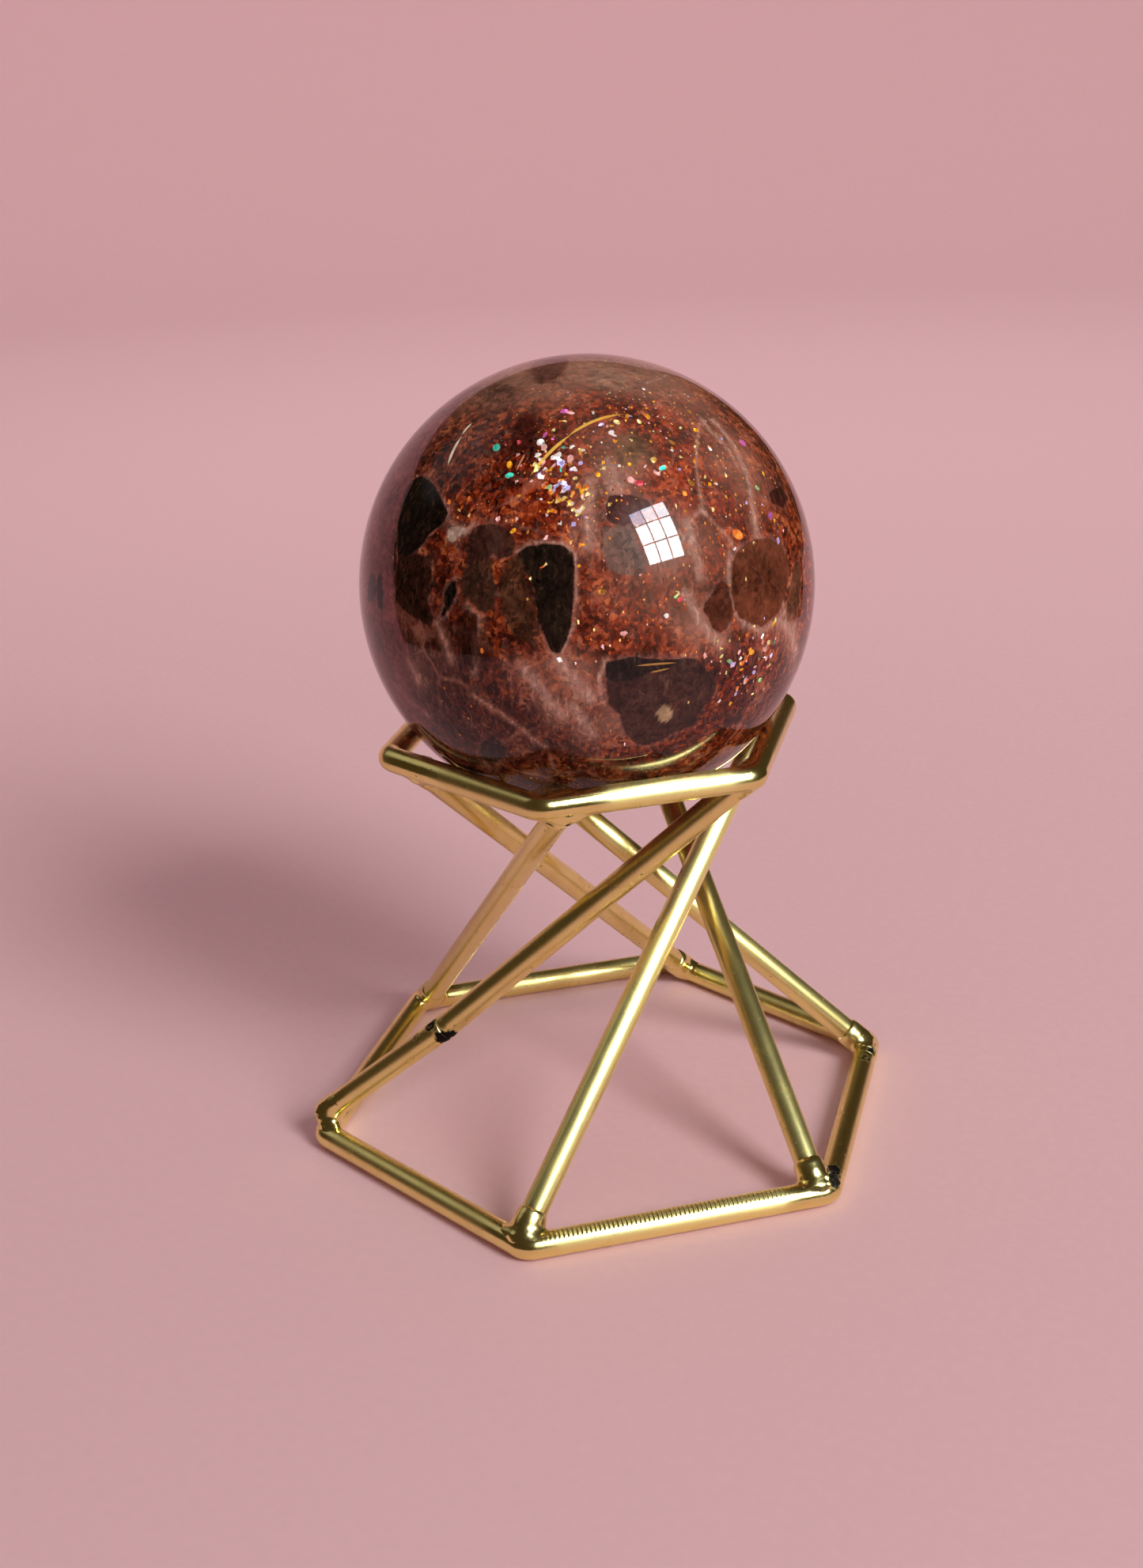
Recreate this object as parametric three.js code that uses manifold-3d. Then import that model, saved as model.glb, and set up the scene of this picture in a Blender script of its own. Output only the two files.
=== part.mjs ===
// A polished stone sphere resting on a stand of bent and welded round wire.
// Millimetres, +Z up. The origin is on the surface that the stand rests on, below the sphere's centre.
// Corner 0 of both hexagons points to -Y, and the corners count anticlockwise seen from above.

import * as THREE from "three";
import { mergeVertices } from "three/addons/utils/BufferGeometryUtils.js";
import Module from "manifold-3d";

// The stone
const SPHERE_DIAMETER = 50;
const SPHERE_SEGMENTS = 60;
const SPHERE_BANDS = 30;
const REST_GAP = 0.1; // between the stone and the wire under it

// The wire
const WIRE_DIAMETER = 2.85;
const WIRE_SIDES = 12;
const BEND_RADIUS = 1.8; // of the wire's centreline at a ring's corner
const BEND_STEPS = 4;

// The two hexagons, measured at their sharp corners on the wire's centreline
const CORNERS = 6;
const BASE_CORNER_RADIUS = 34.4;
const TOP_CORNER_RADIUS = 23.45;
const RING_RISE = 46.2; // from centreline to centreline
const TOP_RING_TURN = 1.3; // degrees, as welded

// Where each ring's two wire ends meet: the corner before the joint, and how far along its bar
const BASE_JOINT = { corner: 1, along: 0.89 };
const TOP_JOINT = { corner: 3, along: 0.2 };
const JOINT_GAP = 0.4;
const JOINT_BEAD_LENGTH = 1.6;
const JOINT_BEAD_SWELL = 0.1; // how much fatter than the wire, in radius
const JOINT_BEAD_LIFT = 0.15; // the bead is flush below, so that the ring lies flat

// The legs
const LEG_CORNERS_ROUND = 2; // how many corners a leg passes on its way down
// Where each leg is welded: along the bar that follows its top corner, along the bar that leads to its base
// corner, and how far its axis passes above the base ring's there
const LEGS = [
  { top: 2.8, foot: 1, footRise: 0 },
  { top: 1.9, foot: 1.3, footRise: 1.2 },
  { top: 1.7, foot: 1.1, footRise: 0 },
  { top: 2, foot: 1.1, footRise: 0 },
  { top: 3.5, foot: 1.4, footRise: 0 },
  { top: 4.9, foot: 3.3, footRise: 0 },
];
const WELD_CLEARANCE = 0.3; // between a leg's end and the ring that it is welded to
// Weld beads as [distance from the ring's centreline along the leg, radius]
const TOP_BEAD = [[0, 1], [1.5, 1.56], [2.4, 1.53], [3.2, 1.425]];
const FOOT_BEAD = [[0, 1], [1.5, 1.75], [2.6, 1.7], [3.5, 1.6], [4.1, 1.425]];

const wireRadius = WIRE_DIAMETER / 2;
const sphereRadius = SPHERE_DIAMETER / 2;
const baseHeight = wireRadius;
const topHeight = baseHeight + RING_RISE;

const wasm = await Module();
wasm.setup();

const stone = new THREE.MeshStandardMaterial({ color: "#7d3a2a", roughness: 0.06, metalness: 0 });
const goldPlate = new THREE.MeshStandardMaterial({ color: "#e2bd55", roughness: 0.18, metalness: 1 });

// Goes through the given points, one step of the extrusion to each, with its sections mitred at them.
class BentWire extends THREE.Curve {
  constructor(points) {
    super();
    this.points = points;
  }

  getPointAt(u, target = new THREE.Vector3()) {
    const last = this.points.length - 1;
    return target.copy(this.points[Math.round(u * last)]);
  }

  getTangentAt(u, target = new THREE.Vector3()) {
    const last = this.points.length - 1;
    const i = Math.round(u * last);
    const here = this.points[i];
    const before = i > 0 ? here.clone().sub(this.points[i - 1]).normalize() : new THREE.Vector3();
    const after = i < last ? this.points[i + 1].clone().sub(here).normalize() : new THREE.Vector3();
    return target.copy(before).add(after).normalize();
  }
}

// A solid for joins and cuts, made from a closed geometry.
function solidOf(geometry) {
  const bare = geometry.clone();
  bare.deleteAttribute("normal");
  bare.deleteAttribute("uv");
  const merged = mergeVertices(bare, 1e-4);
  return new wasm.Manifold(
    new wasm.Mesh({
      numProp: 3,
      vertProperties: merged.attributes.position.array,
      triVerts: new Uint32Array(merged.index.array),
    }),
  );
}

function geometryOf(solid) {
  const mesh = solid.getMesh();
  const geometry = new THREE.BufferGeometry();
  geometry.setAttribute("position", new THREE.BufferAttribute(mesh.vertProperties, mesh.numProp));
  geometry.setIndex(new THREE.BufferAttribute(mesh.triVerts, 1));
  geometry.computeVertexNormals();
  return geometry;
}

// The wire's section, drawn round its true circle with flats on all four sides, so that a ring lies on flats.
function wireSection(radius) {
  const reach = radius / Math.cos(Math.PI / WIRE_SIDES);
  const outline = [];
  for (let i = 0; i < WIRE_SIDES; i += 1) {
    const angle = ((i + 0.5) / WIRE_SIDES) * 2 * Math.PI;
    outline.push(new THREE.Vector2(reach * Math.cos(angle), reach * Math.sin(angle)));
  }
  return new THREE.Shape(outline);
}

function wireAlong(points, radius) {
  return solidOf(
    new THREE.ExtrudeGeometry(wireSection(radius), {
      extrudePath: new BentWire(points),
      steps: points.length - 1,
      bevelEnabled: false,
    }),
  );
}

// A ring's sharp corner on the wire's centreline.
function cornerOf(ring, corner) {
  const angle = cornerAngle(ring, corner);
  return new THREE.Vector3(
    ring.cornerRadius * Math.cos(angle),
    ring.cornerRadius * Math.sin(angle),
    ring.height,
  );
}

function cornerAngle(ring, corner) {
  return THREE.MathUtils.degToRad((360 / CORNERS) * corner - 90 + ring.turn);
}

// A point on the bar that runs from one corner to another, a distance from the first.
function pointOnBar(ring, from, to, distance) {
  const start = cornerOf(ring, from);
  const way = cornerOf(ring, to).sub(start).normalize();
  return start.addScaledVector(way, distance);
}

// The arc that rounds one corner of a ring.
function bendAt(ring, corner) {
  const angle = cornerAngle(ring, corner);
  const halfTurn = Math.PI / CORNERS;
  const toCentre = ring.cornerRadius - BEND_RADIUS / Math.cos(halfTurn);
  const points = [];
  for (let step = 0; step <= BEND_STEPS; step += 1) {
    const out = angle + halfTurn * ((2 * step) / BEND_STEPS - 1);
    points.push(
      new THREE.Vector3(
        toCentre * Math.cos(angle) + BEND_RADIUS * Math.cos(out),
        toCentre * Math.sin(angle) + BEND_RADIUS * Math.sin(out),
        ring.height,
      ),
    );
  }
  return points;
}

// One wire bent round all the corners, with a weld bead over the gap where its ends meet.
function bentRing(ring, radius) {
  const { corner, along } = ring.joint;
  const barLength = cornerOf(ring, corner).distanceTo(cornerOf(ring, corner + 1));
  const joint = along * barLength;
  const route = [pointOnBar(ring, corner, corner + 1, joint + JOINT_GAP / 2)];
  for (let next = 1; next <= CORNERS; next += 1) {
    route.push(...bendAt(ring, corner + next));
  }
  route.push(pointOnBar(ring, corner, corner + 1, joint - JOINT_GAP / 2));
  const bead = [
    pointOnBar(ring, corner, corner + 1, joint - JOINT_BEAD_LENGTH / 2),
    pointOnBar(ring, corner, corner + 1, joint + JOINT_BEAD_LENGTH / 2),
  ];
  for (const end of bead) {
    end.z += JOINT_BEAD_LIFT;
  }
  return wireAlong(route, radius).add(wireAlong(bead, radius + JOINT_BEAD_SWELL));
}

// A straight wire with a weld bead at each end, trimmed to the two rings.
function weldedLeg(from, foot, ringCutters) {
  const length = from.distanceTo(foot);
  const profile = [new THREE.Vector2(0, 0)];
  for (const [distance, radius] of FOOT_BEAD) {
    profile.push(new THREE.Vector2(radius, distance));
  }
  for (const [distance, radius] of [...TOP_BEAD].reverse()) {
    profile.push(new THREE.Vector2(radius, length - distance));
  }
  profile.push(new THREE.Vector2(0, length));
  const geometry = new THREE.LatheGeometry(profile, WIRE_SIDES);
  const up = new THREE.Vector3(0, 1, 0);
  const way = from.clone().sub(foot).normalize();
  geometry.applyQuaternion(new THREE.Quaternion().setFromUnitVectors(up, way));
  geometry.translate(foot.x, foot.y, foot.z);
  return ringCutters.reduce((leg, cutter) => leg.subtract(cutter), solidOf(geometry));
}

function named(name, geometry, material) {
  const mesh = new THREE.Mesh(geometry, material);
  mesh.name = name;
  return mesh;
}

function restingSphere(topRing) {
  const geometry = new THREE.SphereGeometry(sphereRadius, SPHERE_SEGMENTS, SPHERE_BANDS);
  geometry.rotateX(Math.PI / 2);
  const barFromAxis = topRing.cornerRadius * Math.cos(Math.PI / CORNERS);
  const centreFromWire = sphereRadius + wireRadius + REST_GAP;
  const mesh = named("sunstone_sphere", geometry, stone);
  mesh.position.z = topRing.height + Math.sqrt(centreFromWire ** 2 - barFromAxis ** 2);
  return mesh;
}

function wireStand(baseRing, topRing) {
  const stand = new THREE.Group();
  stand.add(named("base_ring", geometryOf(bentRing(baseRing, wireRadius)), goldPlate));
  stand.add(named("top_ring", geometryOf(bentRing(topRing, wireRadius)), goldPlate));
  const ringCutters = [baseRing, topRing].map((ring) => bentRing(ring, wireRadius + WELD_CLEARANCE));
  LEGS.forEach((weld, corner) => {
    const footCorner = corner - LEG_CORNERS_ROUND;
    const from = pointOnBar(topRing, corner, corner + 1, weld.top);
    const foot = pointOnBar(baseRing, footCorner, footCorner - 1, weld.foot);
    foot.z += weld.footRise;
    const leg = weldedLeg(from, foot, ringCutters);
    stand.add(named(`leg_${corner + 1}`, geometryOf(leg), goldPlate));
  });
  return stand;
}

const baseRing = {
  cornerRadius: BASE_CORNER_RADIUS,
  height: baseHeight,
  turn: 0,
  joint: BASE_JOINT,
};
const topRing = {
  cornerRadius: TOP_CORNER_RADIUS,
  height: topHeight,
  turn: TOP_RING_TURN,
  joint: TOP_JOINT,
};

const group = new THREE.Group();
group.add(restingSphere(topRing));
group.add(wireStand(baseRing, topRing));
export default group;
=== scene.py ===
"""A polished confetti sunstone sphere on a stand of bent, welded and gold-plated wire."""

import math

import bpy
import numpy as np
from mathutils import Matrix, Vector


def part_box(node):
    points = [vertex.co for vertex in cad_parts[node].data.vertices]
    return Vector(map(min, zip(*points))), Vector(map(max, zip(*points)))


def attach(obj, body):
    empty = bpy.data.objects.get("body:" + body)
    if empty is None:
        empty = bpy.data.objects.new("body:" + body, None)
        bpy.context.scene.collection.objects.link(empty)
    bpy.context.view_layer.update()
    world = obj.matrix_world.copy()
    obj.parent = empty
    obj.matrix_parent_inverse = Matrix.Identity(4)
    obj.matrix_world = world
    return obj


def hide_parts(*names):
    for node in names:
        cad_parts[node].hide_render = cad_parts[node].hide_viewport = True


bl_info = {
    "name": "Sunstone sphere on a wire stand",
    "version": (1, 0, 0),
    "blender": (4, 5, 0),
    "location": "View3D > Sidebar > Sunstone",
    "description": "Builds a polished sunstone sphere, its gold wire stand and a studio round them",
    "category": "Add Mesh",
}

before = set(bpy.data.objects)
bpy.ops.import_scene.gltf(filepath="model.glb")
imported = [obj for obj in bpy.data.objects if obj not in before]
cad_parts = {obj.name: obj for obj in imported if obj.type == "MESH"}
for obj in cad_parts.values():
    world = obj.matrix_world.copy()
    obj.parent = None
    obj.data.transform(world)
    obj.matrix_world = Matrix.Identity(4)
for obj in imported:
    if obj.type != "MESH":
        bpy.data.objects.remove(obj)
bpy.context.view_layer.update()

MM = 0.001
STONE_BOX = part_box("sunstone_sphere")
STONE_CENTRE = np.array((STONE_BOX[0] + STONE_BOX[1]) / 2) / MM
STONE_DIAMETER = (STONE_BOX[1].z - STONE_BOX[0].z) / MM

# The stand, in millimetres, as in the CAD source. Corner 0 points to -Y and they count anticlockwise.
CORNERS = 6
RING_TURN = {"base_ring": 0.0, "top_ring": 1.3}
RING_JOINT = {"base_ring": (1, 0.89), "top_ring": (3, 0.2)}
LEG_CORNERS_ROUND = 2
# Each leg's welds: along the top bar after its corner, along the base bar before its corner, and how far
# its foot rides above the base ring's centreline
LEG_WELDS = [(2.8, 1.0, 0.0), (1.9, 1.3, 1.2), (1.7, 1.1, 0.0), (2.0, 1.1, 0.0), (3.5, 1.4, 0.0),
             (4.9, 3.3, 0.0)]
RING_SIDES = 40
LEG_SIDES = 40
SECTION_SPACING = 0.45
BEND_STEPS = 16

# Radius of the weld metal round a leg, as (distance from the ring's centreline, radius)
FOOT_BELL = [(-2.0, 1.1), (0.0, 1.45), (1.2, 1.72), (2.4, 1.76), (3.2, 1.72), (3.7, 1.6), (3.95, 1.4), (4.1, 1.15),
             (5.2, 1.1)]
TOP_BELL = [(-2.0, 1.1), (0.0, 1.45), (1.5, 1.54), (2.3, 1.54), (3.1, 1.44), (4.4, 1.28)]
# A leg that ends short of its ring, in a blunt rim that the weld metal does not quite cover
NECKED_BELL = [(-2.0, 1.1), (0.0, 1.5), (1.4, 1.5), (2.0, 1.3), (2.5, 1.12), (3.0, 1.1), (3.15, 1.3), (3.3, 1.5),
               (3.7, 1.49), (4.1, 1.38), (4.5, 1.1)]
NECKED_HEAD = 0
NECK = 3.2
# The rounded foot of the spliced leg
ROUND_BELL = [(-1.5, 0.2), (-1.3, 0.75), (-1.0, 1.05), (-0.6, 1.3), (-0.1, 1.46), (0.4, 1.5), (1.5, 1.5), (2.4, 1.44),
              (2.8, 1.2), (4.0, 1.1)]
# leg_2 is spliced from two wires: where, and how far its foot rides above the base ring's centreline
SPLICED_LEG = 1
SPLICE = (-14.97, -14.26, 15.63)
SPLICED_FOOT_RISE = 2.4
WELD_REACH = 5.4
WELD_CELL = 0.17
WELD_FILLET = 1.0
WIDE_FILLET = 2.3

# Places where the plating is scorched or bare: centre in millimetres, radius, strength
BARE_SPOTS = [
    ((-14.6, -15.5, 15.0), 1.2, 1.0),
    ((-14.0, -15.1, 15.2), 1.0, 1.0),
    ((-16.5, -14.9, 16.1), 1.1, 0.8),
    ((-18.2, -15.2, 14.7), 0.9, 0.62),
    ((30.3, 10.8, 3.0), 1.0, 0.8),
    ((30.7, 13.0, 2.6), 0.9, 0.8),
    ((0.6, -21.9, 45.2), 0.6, 0.9),
    ((3.0, -22.3, 45.2), 0.5, 0.9),
    ((-30.6, -17.2, 3.6), 0.8, 0.6),
    ((29.9, -15.0, 2.9), 1.2, 1.0),
    ((30.5, -16.9, 2.9), 1.1, 1.0),
    ((30.9, -11.0, 2.2), 0.8, 0.5),
    ((20.5, -12.3, 48.3), 0.5, 0.75),
]

# Markings of the stone, as (longitude, latitude) in degrees on its surface: longitude 0 faces -Y and
# grows towards +X. A window is a crystal so clear that it looks dark: tone, clearness, edge softness.
WINDOWS = [
    # The first three are painted reflection: a soft mauve band over the left rim for the pink surroundings that the
    # polish mirrors there
    ("#7E4A47", 0.88, 0.25, [(-65.1, 63.9), (-51, 53), (-46.3, 38.9), (-44.3, 25.5), (-62, 22), (-85, 28), (-92, 50),
     (-85, 62)]),
    ("#7E4A47", 0.88, 0.25, [(-44.8, 30), (-44.3, 25.5), (-40, 15), (-37.4, 7.8), (-33.5, -2), (-55, -6), (-85, -5),
     (-90, 15), (-85, 32)]),
    ("#6C3F3A", 0.88, 0.2, [(-34.5, 2), (-32.7, -3.5), (-34.9, -9.3), (-32.2, -23), (-40, -36), (-60, -45), (-85, -40),
     (-90, -12), (-85, 0), (-55, 1)]),
    ("#120B08", 1.0, 1.0, [(-40.8, 38.1), (-32.9, 36.5), (-27.2, 33.2), (-23.8, 30.7), (-24.2, 28.4),
     (-27.9, 25.4), (-30.8, 21.3), (-34.7, 18.6), (-37.6, 16.2), (-43.2, 25.9), (-45.3, 31.6), (-45.7, 36.1)]),
    ("#1C0D08", 0.9, 0.7, [(-38.4, 18.3), (-25.5, 20.7), (-25.1, 17.1), (-24, 14), (-25.3, 9.2),
     (-23.2, 6.3), (-24.2, 3.8), (-28.1, 4.8), (-33.3, 5.9), (-37.4, 7.9)]),
    ("#1A0C0A", 1.0, 1.0, [(-52.7, 11.5), (-49.1, 11.5), (-46.7, 7.8), (-50.2, 4.5), (-53.3, 4.3)]),
    ("#1A0C0A", 1.0, 1.0, [(-47.1, 11.8), (-45.4, 12.6), (-43.2, 8.6), (-43.3, 4.4), (-46, 4.5), (-47.3, 8.7)]),
    ("#35201A", 0.9, 0.8, [(-15, 28), (-11.1, 29.4), (-7.6, 29.4), (-4.1, 28.1), (-2, 24.9), (-2.7, 22.4),
     (-6, 21.5), (-8.2, 22.5), (-10.1, 20.5), (-15, 20.5), (-15.9, 24)]),
    ("#3B2A1E", 0.85, 0.6, [(-15, 20.8), (-10.1, 20.5), (-8.2, 22.1), (-7.6, 19.3), (-6.4, 14.9),
     (-6.6, 10), (-9.2, 9.1), (-11.8, 10.3), (-15.6, 12.8), (-16.2, 16.7)]),
    ("#1E1611", 1.0, 1.0, [(-1.4, 23.3), (0.5, 24.6), (5.5, 25.4), (9.9, 24.9), (12.4, 23.2), (12.7, 19.7),
     (12.4, 15.3), (11.7, 7.3), (10.3, 3.3), (8.3, 0), (6.8, 0.9), (5.6, 3.7), (4, 7.3), (3.5, 10.9),
     (2.9, 15.3), (1.5, 17.9), (-1.1, 20), (-2.3, 21.7)]),
    ("#090706", 1.0, 1.0, [(-17.3, 16.1), (-19.4, 14.6), (-20.6, 12.6), (-20, 9.9), (-21.5, 6.6),
     (-20.3, 6.8), (-17.9, 10.2), (-16.7, 13.1)]),
    ("#280F0B", 0.85, 0.5, [(-16.6, 6.5), (-13.9, 9.6), (-10.9, 8.6), (-10.5, 4.6), (-10.8, -2),
     (-12.8, -5.2), (-15.2, -3.1), (-17, 1.6)]),
    ("#2B1310", 0.7, 0.5, [(-10.3, 4.6), (-6.9, 3.8), (-6.8, -2.2), (-9.1, -5.1), (-10.8, -4)]),
    ("#7A6048", 0.75, 0.35, [(28.6, 51.6), (35.1, 52.3), (39.1, 50), (37.4, 46.3), (33.2, 42.8),
     (27.3, 42.9), (25.4, 46.6)]),
    ("#4A2E2C", 0.95, 0.9, [(21.1, 33.8), (22.5, 36), (27, 36.3), (33, 34.4), (34.2, 32), (28.2, 31.1),
     (27.4, 28.9), (23.7, 28.8), (21.2, 30.1)]),
    ("#78645A", 0.85, 0.8, [(20, 28.7), (27.4, 28.6), (28.7, 24.1), (29.8, 19.2), (28.6, 17.3),
     (24.4, 17.5), (20.8, 18.8), (19.3, 23)]),
    ("#6F3D29", 1.0, 1.0, [(58.9, 20.1), (62.7, 20.4), (68.8, 18.9), (72.5, 16.4), (74.1, 12.9), (73, 8.9),
     (70.6, 5.3), (67.3, 1.7), (63.9, 0.6), (60.3, -0.2), (56.8, 1.4), (53, 3.6), (51.6, 6.7),
     (51.1, 10.1), (52, 13.6), (53.1, 16.7), (55.3, 18.9)]),
    ("#5A3A28", 0.9, 0.8, [(73.8, 7.2), (76.4, 10.7), (80.1, 10.6), (79.2, 5.4), (77, 0.5), (72.9, -0.6),
     (70.1, 1)]),
    ("#613425", 1.0, 1.0, [(48.7, 13.5), (46.8, 11.8), (43.3, 8.8), (42.7, 7.6), (44.4, 4.9), (44.9, 2.8),
     (47.1, 1.2), (48.9, 1.8), (50.9, 3.7), (51.5, 5.6), (50.9, 8.3), (50.9, 11.6)]),
    ("#2F1F1B", 0.92, 0.6, [(19, -1.9), (25.2, -1.2), (32.7, -2.6), (40.6, -3.3), (43.5, -7), (47, -11.4),
     (46.8, -14.3), (44.3, -16.2), (43, -19.1), (42.7, -22.1), (37.2, -22.9), (33.4, -24.9),
     (28.4, -26.2), (24.6, -23.1), (22.6, -18.8), (21.8, -15.5), (19.4, -12.9), (18.9, -8.1)]),
    ("#1A120F", 1.0, 1.0, [(19, -1.9), (25.2, -1), (32.7, -2.6), (40.4, -3.3), (35.8, -4.4), (28.9, -5.5),
     (24.8, -6.6), (20.7, -6.8), (18.9, -6.1)]),
    ("#A07C68", 0.7, 0.4, [(22.1, 74), (37.9, 78.5), (52.2, 76.3), (54, 71.8), (48.4, 67.5), (37.7, 66.4),
     (25, 68.2)]),
    ("#7A5243", 0.65, 0.35, [(-61.2, 63.7), (-57.4, 68.1), (-32.7, 68.8), (-21.3, 65.7), (-21.8, 60.8),
     (-24.9, 56.2), (-37.4, 58)]),
    ("#5A2C28", 0.7, 0.35, [(-47.1, 75.8), (-112.2, 77.3), (-138.8, 79.7), (-23.4, 87.2), (0.4, 76.1),
     (-4, 71.6), (-14.7, 70.2)]),
    ("#3C1410", 0.8, 0.5, [(-11.6, 59.6), (-6, 58.5), (-1.7, 54), (-1.5, 50.1), (-4.1, 47.3), (-8.8, 47.6),
     (-12.9, 52.5)]),
    ("#191418", 0.9, 0.6, [(-14, -24.5), (-11, -22.5), (-8.7, -24.7), (-8.5, -28.8), (-13.3, -32.8),
     (-17.6, -32.8), (-17.3, -28.9)]),
    ("#3A1512", 0.9, 0.9, [(76.2, 29.1), (86.8, 28.8), (86.9, 25), (80.1, 24.1), (74.8, 26.5)]),
    ("#2C1F14", 0.85, 0.45, [(-4.6, 21.2), (-1.4, 22.6), (0.6, 19.2), (2.5, 15.4), (3.6, 10.4), (4.2, 5.0),
     (2.2, 2.4), (-2.0, 3.8), (-4.8, 9.0), (-6.2, 15.0)]),
    ("#B2A08C", 1.0, 1.0, [(-23, 27.4), (-20.5, 27.8), (-17.2, 28), (-15.9, 26.8), (-18.5, 25.4),
     (-19.8, 24), (-21.8, 24.5)]),
    ("#8C7B5C", 0.9, 0.9, [(31.2, -15.7), (32.7, -14.4), (34.8, -15.6), (35.6, -17.8), (34.1, -19.4),
     (31.8, -18.5)]),
]

# Healed cracks that show as pale veils: width in millimetres and the line that each follows
VEILS = [
    (1.5, [(0.4, -4), (3.2, -7.5), (6.5, -13), (8.6, -15.4)]),
    (2, [(8.6, -1.9), (10.3, -4.2), (12.7, -7.8), (15, -10.8)]),
    (1.6, [(10.6, -13), (12.9, -16.3), (15.2, -20.6)]),
    (0.35, [(65.8, 51.2), (57.9, 46.5), (52.2, 40.6), (49.6, 34.8), (48.6, 30)]),
    (0.5, [(48.6, 30), (45, 28.8), (42, 26.2), (39.8, 22.9)]),
    (1, [(74.6, 50.5), (73.9, 43.8), (71.4, 38.4), (69.8, 34), (66, 27.9), (64.3, 23.4), (63.4, 20.7)]),
    (0.8, [(69, 52.3), (67.7, 48.6), (69.3, 44.1), (68.4, 37.9)]),
    (0.4, [(48.6, 29.5), (50.9, 25.9), (53.4, 22.4), (55.3, 18.9)]),
    (1.4, [(38.6, 11.8), (40.3, 8), (42.3, 4.3), (45.3, 0.4), (47.5, -0.8)]),
    (0.7, [(52.8, 19), (51.1, 13.8), (51.9, 6.6), (54.2, 2), (60, -1.1), (66.9, -0.3), (70.5, 1.4)]),
    (0.25, [(-2.4, 23.1), (1.5, 25.2), (5.5, 25.8), (9.9, 25.2), (12.8, 23.2), (13, 16.1), (12.2, 7.3),
            (8.7, -0.4)]),
    (0.6, [(-22.2, 5), (-20.6, 1.9), (-19.8, -0.3), (-18.8, -3.2)]),
    (0.4, [(-24.3, 31.6), (-23.4, 29.8), (-21.4, 28.1), (-16.5, 27.3), (-14.6, 29.1)]),
    (0.5, [(-44.2, -15.1), (-39.1, -18), (-32, -20.8)]),
    (0.3, [(-13.8, -11.4), (-9.9, -13.7), (-4.3, -17.8), (3.1, -25.2)]),
    (2.4, [(24.2, 43.5), (24.6, 40.4), (25, 37.8)]),
    (0.5, [(19.2, -1.5), (17.5, -5.6), (17.4, -9.2), (18.4, -12.6)]),
    (0.5, [(60.5, 67.7), (75.8, 67.6), (96.6, 67.4)]),
    (1.6, [(16.4, 24.9), (16.6, 34), (17.9, 39.8)]),
    (0.5, [(-7.4, 22.9), (-7.5, 26.5), (-9.8, 28.7)]),
    (0.4, [(-12.4, -5.5), (-10.9, 4.6), (-10.5, 8.3), (-13.5, 10.2)]),
    (1.2, [(-33.6, -6.5), (-31.7, -8.5), (-30.6, -10.8)]),
    (1.6, [(67.2, -0.2), (73.4, -4.9), (78.6, -12.6)]),
    (1.3, [(42.5, 27.7), (43.2, 20.6), (43.1, 15.1)]),
]

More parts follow.
